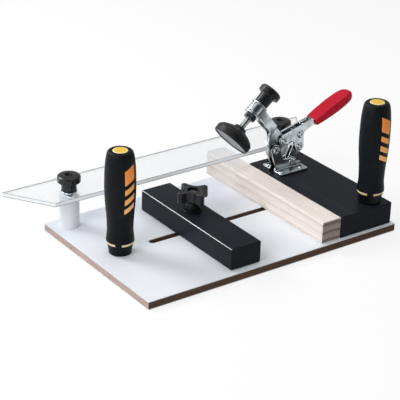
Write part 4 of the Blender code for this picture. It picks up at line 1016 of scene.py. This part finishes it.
def knobMesh(low, height, bore):
    high = low + height
    under, end, floor = high - knob["capHeight"], low + knob["bore"], high - knob["dishDepth"]
    cap, shank, dish = knob["cap"], knob["shank"], knob["dish"]
    profile = [(0.0, floor), (dish - 1.0, floor, 0.4), (dish, high - 0.35, 0.3), (dish + 1.2, high, 0.5),
               (cap - 1.7, high - 0.7, 0.8), (cap - 0.2, high - 2.0, 0.6), (cap, high - 2.7, 0.3),
               (cap, under + 0.5, 0.4), (cap - 0.6, under, 0.3), (shank + 0.9, under, 0.5),
               (shank, under - 1.2, 0.8), (shank - 0.3, low + 0.6, 0.4), (shank - 0.9, low, 0.2), (bore, low),
               (bore, end), (0.0, end)]
    return turnedMesh(profile, 80)


def guidePlateMesh():
    front, back = guide["front"], guide["back"]
    tip = back - guide["tip"]
    places = [(guide["frontX"][0], front), (guide["frontX"][1], front), (guide["backX"][1], tip),
              (guide["backX"][1], back), (guide["backX"][0], back), (guide["backX"][0], tip)]
    edge = roundCorners([(x, y, guide["frontCorner" if y == front else "backCorner"]) for x, y in places])
    low, high, arris = guide["low"], guide["high"], guide["arris"]
    levels = ((arris, low), (0.0, low + arris), (0.0, low + 2 * arris), (0.0, high - arris), (arris, high))
    rows = [[(x, y, z) for x, y in insetOutline(edge, inset)] for inset, z in levels]
    slots = []
    for x, y in postPlaces.values():
        slot = stadiumPoints((x, y - guide["slotHalf"]), (x, y + guide["slotHalf"]), guide["slotRadius"])
        slots.append(plateMesh([slot], low - guide["slotCut"], high + guide["slotCut"]))
    return cutMesh(loftMesh(rows), joinMeshes(slots))


def makeGuide():
    plate = guidePlateMesh()
    makePiece("guidePlate", plate, clearSheet, "guide", ["guide_plate"])
    plate.materials.append(sheetEdge)
    plate.materials.append(sheetArris)
    lowBand = (guide["low"] + 2 * guide["arris"]) * mm
    # the arrises and lower edge band take the painted edge lines
    for face in plate.polygons:
        level = abs(face.normal.z)
        lined = level > guide["arrisLevel"] or face.center.z < lowBand
        face.material_index = 0 if level > guide["flatLevel"] else 2 if lined else 1
    for side, place in postPlaces.items():
        axes = placed(sledAxes, *place)
        post, washer = turnedMesh(guide["post"], wrap=True), turnedMesh(guide["washer"], wrap=True)
        stud = hexBoltMesh(studSize, guide["studTop"], guide["studThread"])
        turned = knobMesh(guide["knobLow"], knob["guideHeight"], guide["knobBore"])
        for name, mesh, finish, body, node, slotName in (
                ("Post", post, whitePost, "root", "post", "white_plastic"),
                ("PostStud", stud, zincSteel, "root", "post_stud", "zinc_steel"),
                ("GuideWasher", washer, zincSteel, "root", "guide_washer", "zinc_steel"),
                ("GuideKnob", turned, blackPlastic, f"{side}_post_knob", "guide_knob", "black_plastic")):
            makePiece(side + name, mesh, finish, body, [f"{side}_{node}"], axes)


makeGuide()
print("guide made")


# Toggle clamp, drawn round its middle plane. Turns are those at rest.
clamp = {"plane": 140.0, "armPivot": (263.0, 63.3), "armTurn": 50.8, "leverPivot": (-1.0, 14.3),
         "leverTurn": 17.1, "linkPivot": (287.0, 44.0), "leverLinkPin": (19.3, -18.9),
         "spacerPin": (24.0, -4.4), "plateInner": 3.3, "plateOuter": 5.8, "middle": 3.0, "pinHole": 3.2}
base = {"left": 262.0, "right": 302.0, "reach": 18.0, "bottom": 35.1, "thick": 2.5, "bend": 1.3,
        "valley": (274.5, 48.5, 6.0), "frontEye": 6.8, "rearEye": 5.8, "corner": 2.4, "edge": 0.45,
        "screwsX": {"left": 266.5, "right": 294.5}, "screwOut": 12.0, "screwHole": 2.3,
        "screwTurns": {"left": 25.0, "right": 70.0}, "bendCuts": 8}
rivet = {"head": 4.6, "height": 1.5, "shaft": 2.9, "dish": 1.9, "dishDepth": 0.9, "gap": 0.05}
clampAxes = placed(sledAxes, 0.0, clamp["plane"])


def pinned(axes, place, turnY=0.0, turnX=0.0):  # on the middle plane, at a place in X and Z
    return placed(axes, place[0], 0.0, place[1], turnY=turnY, turnX=turnX)


armAxes = pinned(clampAxes, clamp["armPivot"], clamp["armTurn"])
leverAxes = pinned(armAxes, clamp["leverPivot"], -clamp["leverTurn"] - clamp["armTurn"])


def rivetMesh(reach):
    inner = reach + rivet["gap"]
    outer = inner + rivet["height"]
    floor = outer - rivet["dishDepth"]
    head, shaft, dish = rivet["head"], rivet["shaft"], rivet["dish"]
    half = [(0.0, floor), (dish - 0.6, floor, 0.3), (dish, outer - 0.1, 0.3), (dish + 0.9, outer, 0.5),
            (head - 0.6, outer - 0.55, 0.6), (head, inner + 0.2, 0.2), (head - 0.1, inner), (shaft, inner)]
    return turnedMesh(half + [(radius, -height, *rest) for radius, height, *rest in reversed(half)], 48)


def addRivet(name, node, body, axes, place):
    makePiece(name, rivetMesh(clamp["plateOuter"]), zincSteel, body, [node],
              pinned(axes, place, turnX=90))


def pinHoles(*places):
    return [circlePoints(place, clamp["pinHole"]) for place in places]


def basePlateMesh(side):
    middle = (clamp["plateInner"] + clamp["plateOuter"]) / 2
    radius = base["bend"] + base["thick"] / 2
    foot = base["bottom"] + base["thick"] / 2
    bendTop = foot + radius
    bendEnd = bendTop - radius * math.pi / 2
    flangeEnd = bendEnd - (base["reach"] - middle - radius)
    left, right, corner = base["left"], base["right"], base["corner"]
    frontEye = arcPoints(clamp["armPivot"], base["frontEye"], 185, -5, 28)
    rearEye = arcPoints(clamp["linkPivot"], base["rearEye"], 125, -10, 18)
    lower = [(right - 1.6, bendTop + 2.2, 2.0), (right, bendTop - 2.6, 1.5), (right, flangeEnd, corner),
             (left, flangeEnd, corner), (left, bendTop - 2.6, 1.5), (left + 1.4, bendTop + 2.2, 2.0)]
    outline = roundCorners(frontEye + [base["valley"]] + rearEye + lower, count=8)
    screwLevel = bendEnd - (base["screwOut"] - middle - radius)
    holes = pinHoles(clamp["armPivot"], clamp["linkPivot"])
    holes += [circlePoints((x, screwLevel), base["screwHole"], 24) for x in base["screwsX"].values()]
    half = base["thick"] / 2
    flat = plateMesh([outline] + holes, -half, half)

    def fold(x, s, t):  # upright plate, a quarter bend, then the flange
        if s >= bendTop:
            return x, side * (middle - t), s
        if s >= bendEnd:
            angle = (bendTop - s) / radius
            out = radius + t
            return x, side * (middle + radius - out * math.cos(angle)), bendTop - out * math.sin(angle)
        return x, side * (middle + radius + bendEnd - s), foot - t
    count = base["bendCuts"]
    cuts = [(bendTop - (bendTop - bendEnd) * k / count, (0, 1, 0)) for k in range(count + 1)]
    return reshape(flat, fold, cuts)


def makeClampBase():
    level = base["bottom"] + base["thick"] + flangeScrew["gap"]
    for side, name in ((-1, "front"), (1, "back")):
        makePiece(f"clampBase{name.title()}", basePlateMesh(side), zincSteel, "root", [f"clamp_base_{name}"],
                  clampAxes, soften=base["edge"])
        for end, x in base["screwsX"].items():
            axes = placed(clampAxes, x, side * base["screwOut"], level, turnZ=base["screwTurns"][end])
            makePiece(f"flangeScrew{name.title()}{end.title()}", screwMesh(flangeScrew), zincSteel, "root",
                      [f"flange_screw_{name}_{end}"], axes)
    addRivet("armPivotRivet", "arm_pivot_pin", "root", clampAxes, clamp["armPivot"])
    addRivet("linkPivotRivet", "link_pivot_pin", "root", clampAxes, clamp["linkPivot"])


makeClampBase()
print("clamp base made")


arm = {"low": 7.6, "high": 18.2, "nose": -59.5, "noseZ": 11.7, "tilt": 2.0, "heel": -23.5, "half": 9.5,
       "strip": 3.0, "bend": -20.0, "spread": -28.5, "foot": 9.5, "eye": 6.4, "edge": 0.5, "legGap": 0.08,
       "ease": 0.45, "probe": 0.2, "bendCuts": (-1.8, 0.75, 17), "noseCuts": 16}


def armMesh():  # a strip bent round the nose, its two legs pressed together at the pivots
    wide = arm["half"] - arm["strip"] / 2
    narrow = arm["strip"] / 2 + arm["legGap"] / 2
    end = arm["nose"] - wide * math.pi / 2
    outline = arcPoints((0, 0), arm["foot"], 238, 350, 24)
    outline += arcPoints(clamp["leverPivot"], arm["eye"], 0, 60, 10)
    outline += [(arm["bend"], arm["high"], 8.0), (end, arm["high"]), (end, arm["low"]),
                (arm["heel"], arm["low"], 4.0)]
    holes = pinHoles((0, 0), clamp["leverPivot"])
    half = arm["strip"] / 2 - 0.02
    flat = plateMesh([roundCorners(outline)] + holes, -half, half)

    def offsetAt(p):  # from the pressed legs to the open ones, eased at both bends
        total = 0.0
        for k in range(-3, 4):
            share = min(1.0, max(0.0, (arm["bend"] - p - k * arm["ease"]) / (arm["bend"] - arm["spread"])))
            total += narrow + (wide - narrow) * share
        return total / 7

    def wrapRound(p, z, t):
        if p < arm["nose"]:
            angle = (arm["nose"] - p) / wide
            return arm["nose"] - (wide + t) * math.sin(angle), (wide + t) * math.cos(angle), z
        slope = (offsetAt(p + arm["probe"]) - offsetAt(p - arm["probe"])) / (2 * arm["probe"])
        scale = 1 / math.hypot(1, slope)
        return p - slope * scale * t, offsetAt(p) + scale * t, z

    start, step, count = arm["bendCuts"]
    places = [arm["spread"] + start + k * step for k in range(count)]
    count = arm["noseCuts"]
    places += [arm["nose"] - (arm["nose"] - end) * k / count for k in range(count)]
    cuts = [(place, (1, 0, 0)) for place in places]
    near = reshape(flat, wrapRound, cuts)
    body = bmesh.new()
    body.from_mesh(near)
    seam = [face for face in body.faces if all(abs(vert.co.y) < tiny for vert in face.verts)]
    bmesh.ops.delete(body, geom=seam, context="FACES")
    near = closeMesh(body, "armHalf")
    far = near.copy()
    far.transform(Matrix.Diagonal((1, -1, 1, 1)))
    return joinMeshes([near, far], weld=0.004)


spindle = {"radius": 3.8, "low": -39.0, "high": 23.5, "pitch": 1.25, "depth": 0.5}
nose = {"washer": 10.0, "gap": 0.4, "thick": 2.2, "hub": 5.8, "hubLength": 4.0, "nutCorner": 7.2,
        "nutHeight": 5.8, "knobLow": 9.5}
pad = {"low": -44.8, "high": -25.0, "radius": 22.9, "face": 20.0, "faceThick": 1.6, "sunk": 0.9, "rim": 8.8,
       "neck": 7.2, "dome": [(14.0, -30.2, 8.0), (19.6, -33.2, 6.0)]}
noseAxes = pinned(armAxes, (arm["nose"], arm["noseZ"]), -arm["tilt"])


def makeClampArm():
    makePiece("clampArm", armMesh(), zincSteel, "toggle_arm", ["clamp_arm"], armAxes,
              soften=arm["edge"])
    bore = spindle["radius"] + 0.25
    for name, sign, half in (("upper", 1, arm["high"] - arm["noseZ"]),
                             ("lower", -1, arm["noseZ"] - arm["low"])):
        inner, hub = half + nose["gap"], half - nose["hubLength"]
        outer = inner + nose["thick"]
        washer = [(bore, outer, 0.2), (bore + 1.4, outer, 0.3), (bore + 2.0, outer - 0.2, 0.3),
                  (nose["washer"], outer - 0.3, 0.5), (nose["washer"], inner, 0.3), (nose["hub"], inner, 0.2),
                  (nose["hub"], hub, 0.3), (bore, hub, 0.2)]
        profile = [(radius, sign * height, corner) for radius, height, corner in washer]
        makePiece(f"{name}NoseWasher", turnedMesh(profile, wrap=True), zincSteel, "toggle_arm",
                  [f"{name}_nose_washer"], noseAxes)
    nutHigh = arm["low"] - arm["noseZ"] - nose["gap"] - nose["thick"] - 0.2
    nut = nutMesh(nose["nutCorner"], nutHigh - nose["nutHeight"] + 0.1, nutHigh, bore)
    rod = loftMesh(threadRows(*(spindle[size] for size in ("radius", "pitch", "depth", "low", "high"))))
    turned = knobMesh(nose["knobLow"], knob["spindleHeight"], bore)
    for name, mesh, finish, body, node, slotName in (
            ("lockNut", nut, darkSteel, "toggle_arm", "lock_nut", "zinc_steel"),
            ("spindleRod", rod, zincSteel, "toggle_spindle", "spindle", "zinc_steel"),
            ("spindleKnob", turned, blackPlastic, "toggle_spindle", "spindle_knob", "black_plastic")):
        makePiece(name, mesh, finish, body, [node], noseAxes)


def makePad():
    low, high, radius, neck, flat = (pad[size] for size in ("low", "high", "radius", "neck", "face"))
    rim, seat = low + pad["rim"], spindle["low"] - 0.3
    bore = spindle["radius"] + 0.2
    profile = [(0.0, seat), (bore, seat), (bore, high), (neck - 0.8, high, 0.5), (neck, high - 1.0, 0.6),
               (neck + 0.3, high - 2.2, 0.8), (neck + 2.6, high - 3.6, 2.0), *pad["dome"],
               (radius - 1.0, rim + 0.3, 0.6), (radius - 0.7, rim - 0.5, 0.3), (radius - 0.1, rim - 0.8, 0.4),
               (radius, rim - 3.0, 2.0), (radius - 0.1, low + 1.0, 0.6),
               (radius - 0.8, low, 0.4), (flat + 0.3, low, 0.3), (flat + 0.3, low + 2.6), (0.0, low + 2.6)]
    makePiece("rubberPad", turnedMesh(profile, 96), padRubber, "toggle_pad", ["rubber_pad"],
              noseAxes)
    low += pad["sunk"]
    high = low + pad["faceThick"]
    face = [(0.0, high), (flat, high, 0.2), (flat + 0.1, low + 0.2, 0.3), (flat - 0.8, low, 0.3),
            (flat - 2.6, low, 0.3), (flat - 3.0, low + 0.35, 0.2), (flat - 3.6, low + 0.35, 0.2),
            (flat - 4.0, low, 0.3), (0.0, low)]
    makePiece("padFace", turnedMesh(face, 96), padDisc, "toggle_pad", ["pad_face"], noseAxes)


makeClampArm()
makePad()
print("clamp arm and pad made")


lever = {"lobe": 6.2, "eye": 6.4, "lowEdge": [(29.0, -5.0, 5.0), (38.5, -3.3, 8.0), (46.3, -3.4)],
         "stub": [(46.3, -2.9), (49.0, -2.7), (49.0, 1.4), (46.3, 1.6)],
         "topEdge": [(46.3, 4.0), (29.0, 5.2, 8.0)], "slitHalf": 1.5, "edge": 0.45,
         "pocket": [(-30, -60), (31.0, -60), (31.0, 60), (-30, 60)],  # cut between the two cheeks
         "slit": [(30.0, -1.6), (45.5, -1.6), (45.5, 60), (30.0, 60)]}
# Each row of the red grip is a place along it, half its width and half its depth.
redGrip = {"rows": [(47.0, 8.2, 3.4), (47.05, 8.95, 4.0), (47.5, 9.2, 4.2), (48.5, 9.45, 4.45),
                    (56.6, 9.9, 5.4), (66.0, 10.15, 6.15), (77.8, 10.3, 6.6), (88.0, 10.1, 6.5),
                    (95.8, 9.6, 6.1), (99.0, 9.0, 5.7), (101.3, 8.4, 5.25), (103.3, 7.4, 4.6),
                    (104.8, 6.4, 3.9), (106.2, 5.0, 3.0), (107.0, 3.8, 2.2), (107.35, 2.5, 1.5),
                    (107.5, 0.8, 0.45)],
           "bend": 6.8, "bendAt": 52.0, "power": 4.6}
link = {"eye": 7.8, "foot": 5.2, "hole": 4.9, "edge": 0.5, "groove": 1.9, "grooveDepth": 2.4,
        "grooveEnds": (2.0, 5.0), "grooveTool": 20.0}


def leverMesh():
    pinX = clamp["leverLinkPin"][0]
    outline = arcPoints((0, 0), lever["eye"], 80, 270, 28)
    outline += [(pinX - lever["lobe"] - 1.0, -lever["eye"], 3.0)]
    outline += arcPoints(clamp["leverLinkPin"], lever["lobe"], 175, 365, 28)
    outline += lever["lowEdge"] + lever["stub"] + lever["topEdge"]
    holes = pinHoles((0, 0), clamp["leverLinkPin"], clamp["spacerPin"])
    wide = clamp["plateOuter"]
    solid = plateMesh([roundCorners(outline)] + holes, -wide, wide, upright=True)
    for shape, half in ((lever["pocket"], clamp["plateInner"]), (lever["slit"], lever["slitHalf"])):
        solid = cutMesh(solid, plateMesh([shape], -half, half, upright=True))
    return solid


def redGripMesh():  # a dipped sleeve, flatter than wide, with a rolled lip and a round end
    power = 2 / redGrip["power"]
    bend = Matrix.Rotation(math.radians(-redGrip["bend"]), 3, "Y")
    middle = Vector((redGrip["bendAt"], 0.0, 0.0))
    rows = []
    for x, wide, deep in smoothCurve(redGrip["rows"], 5):
        row = []
        for k in range(64):
            c, s = math.cos(math.pi * k / 32), math.sin(math.pi * k / 32)
            y, z = (size * math.copysign(abs(w) ** power, w) for size, w in ((wide, c), (deep, s)))
            point = Vector((x, y, z))
            row.append(middle + bend @ (point - middle))
        rows.append(row)
    return loftMesh(rows)


def makeLever():
    makePiece("clampLever", leverMesh(), zincSteel, "toggle_lever", ["clamp_lever"], leverAxes,
              soften=lever["edge"])
    addRivet("leverPivotRivet", "lever_pivot_pin", "toggle_lever", leverAxes, (0, 0))
    addRivet("leverLinkRivet", "lever_link_pin", "toggle_lever", leverAxes, clamp["leverLinkPin"])
    addRivet("leverSpacerRivet", "lever_spacer_pin", "toggle_lever", leverAxes, clamp["spacerPin"])
    makePiece("leverGrip", redGripMesh(), redVinyl, "toggle_lever", ["lever_grip"], leverAxes)


def makeLink():
    pin = pinned(leverAxes, clamp["leverLinkPin"]).to_translation()
    foot = pinned(clampAxes, clamp["linkPivot"]).to_translation()
    reach = (pin - foot) / mm
    axes = pinned(clampAxes, clamp["linkPivot"], math.degrees(math.atan2(reach.x, reach.z)))
    outline = arcPoints((0, reach.length), link["eye"], -5, 185) + arcPoints((0, 0), link["foot"], 185, 355)
    holes = pinHoles((0, 0)) + [circlePoints((0, reach.length), link["hole"])]
    half = clamp["middle"]
    bar = plateMesh([outline] + holes, -half, half, upright=True)
    (low, high), tool = link["grooveEnds"], link["grooveTool"]
    groove = plateMesh([stadiumPoints((low, 0.0), (reach.length - high, 0.0), link["groove"])], -tool, 0.0)
    groove.transform(Matrix.Rotation(math.radians(-90), 4, "Y"))
    groove.transform(Matrix.Translation(Vector((-link["foot"] - tool + link["grooveDepth"], 0.0, 0.0)) * mm))
    makePiece("clampLink", cutMesh(bar, groove), zincSteel, "toggle_link", ["clamp_link"], axes,
              soften=link["edge"])


makeLever()
makeLink()
print("clamp lever and link made")


# Stage: pale floor, white surroundings, soft lamps and the camera.
stage = {"floorSize": 14.0, "floorZ": -0.0002, "bounce": 0.50, "seen": 1.0, "glow": 0.76, "ambient": 0.30,
         "mirror": (-0.7, 0.5, 1.0, 0.45), "mirrorFloor": (-0.25, 0.30, 1.0, 0.55),  # from, to, two levels
         "darkWay": (-0.56, -0.73, 0.39), "darkSpan": (0.55, 0.85), "darkLevel": 0.04,
         "aim": (0.0, 0.0, 0.04)}
lamps = [("keyLamp", (-0.45, 0.66, 0.60), 1.5, 0.7, 12.0),  # name, direction, distance, size, watts
         ("sideLamp", (-0.86, -0.22, 0.46), 1.5, 1.0, 9.0), ("topLamp", (0.15, 0.05, 1.0), 1.6, 1.2, 7.0)]
view = {"location": (-0.891107, -1.199531, 0.752125), "rotation": (64.2466, -1.4479, -35.1831),
        "lens": 134.209, "sensor": 36.0}


def seenDirectly(tree):
    path = addNode(tree, "LightPath").outputs
    return sums(tree, "MAXIMUM", path["Is Camera Ray"], path["Is Transmission Ray"]), path["Is Glossy Ray"]


def makeFloor():
    body = bmesh.new()
    bmesh.ops.create_circle(body, cap_ends=True, segments=64, radius=stage["floorSize"] / 2)
    floor = bpy.data.objects.new("studioFloor", closeMesh(body, "studioFloor"))
    floor.location.z = stage["floorZ"]
    bpy.context.scene.collection.objects.link(floor)
    material, tree, shader = startMaterial("paleFloor")
    tree.nodes.remove(shader)
    direct, glossy = seenDirectly(tree)
    place = addNode(tree, "SeparateXYZ", {0: addNode(tree, "TexCoord").outputs["Object"]}).outputs
    mirrored = remap(tree, place["X"], *stage["mirrorFloor"])  # painted light: as mirrors see it, the floor is painted paler to the left, as if lit from there
    direct = sums(tree, "MAXIMUM", direct, times(tree, glossy, mirrored))
    bounce = addNode(tree, "BsdfDiffuse", {"Color": (stage["bounce"],) * 3 + (1,)})
    pale = addNode(tree, "BsdfDiffuse", {"Color": (stage["seen"],) * 3 + (1,)})
    glow = addNode(tree, "Emission", {"Color": (1, 1, 1, 1), "Strength": 1.0})
    shown = addNode(tree, "MixShader", {0: stage["glow"], 1: pale.outputs[0], 2: glow.outputs[0]})
    both = addNode(tree, "MixShader", {0: direct, 1: bounce.outputs[0], 2: shown.outputs[0]})
    feed(tree, tree.nodes["Material Output"].inputs["Surface"], both.outputs[0])
    floor.data.materials.append(material)


def makeSurroundings():
    world = bpy.data.worlds.new("whiteRoom")
    bpy.context.scene.world = world
    world.use_nodes = True
    tree = world.node_tree
    background = tree.nodes["Background"]
    direct, glossy = seenDirectly(tree)
    way = addNode(tree, "TexCoord").outputs["Generated"]
    ways = addNode(tree, "SeparateXYZ", {0: way}).outputs
    side = remap(tree, ways["X"], *stage["mirror"])  # mirrored room, brighter to the left
    toFront = addNode(tree, "VectorMath", {0: way, 1: stage["darkWay"]}, operation="DOT_PRODUCT")
    dark = remap(tree, toFront.outputs["Value"], *stage["darkSpan"])  # a dark corner that the steel mirrors

    def mixed(factor, low, high):
        return sums(tree, "ADD", low, times(tree, factor, sums(tree, "SUBTRACT", high, low)))

    level = mixed(glossy, stage["ambient"], mixed(dark, side, stage["darkLevel"]))
    level = mixed(direct, level, 1.0)
    feed(tree, background.inputs["Strength"], level)
    background.inputs["Color"].default_value = (1, 1, 1, 1)


def makeLamps():
    for name, way, distance, size, power in lamps:
        lamp = bpy.data.lights.new(name, "AREA")
        lamp.shape = "DISK"
        lamp.size = size
        lamp.energy = power
        holder = bpy.data.objects.new(name, lamp)
        holder.location = Vector(way).normalized() * distance + Vector(stage["aim"])
        holder.rotation_euler = Vector(way).to_track_quat("Z", "Y").to_euler()
        holder.visible_camera = False
        bpy.context.scene.collection.objects.link(holder)


def makeCamera():
    data = bpy.data.cameras.new("photoCamera")
    data.sensor_width = view["sensor"]
    data.lens = view["lens"]
    camera = bpy.data.objects.new("photoCamera", data)
    camera.location = view["location"]
    camera.rotation_euler = [math.radians(angle) for angle in view["rotation"]]
    bpy.context.scene.collection.objects.link(camera)
    bpy.context.scene.camera = camera


makeFloor()
makeSurroundings()
makeLamps()
makeCamera()
bpy.context.scene.view_settings.view_transform = "Standard"
print("stage made")

bpy.context.view_layer.update()
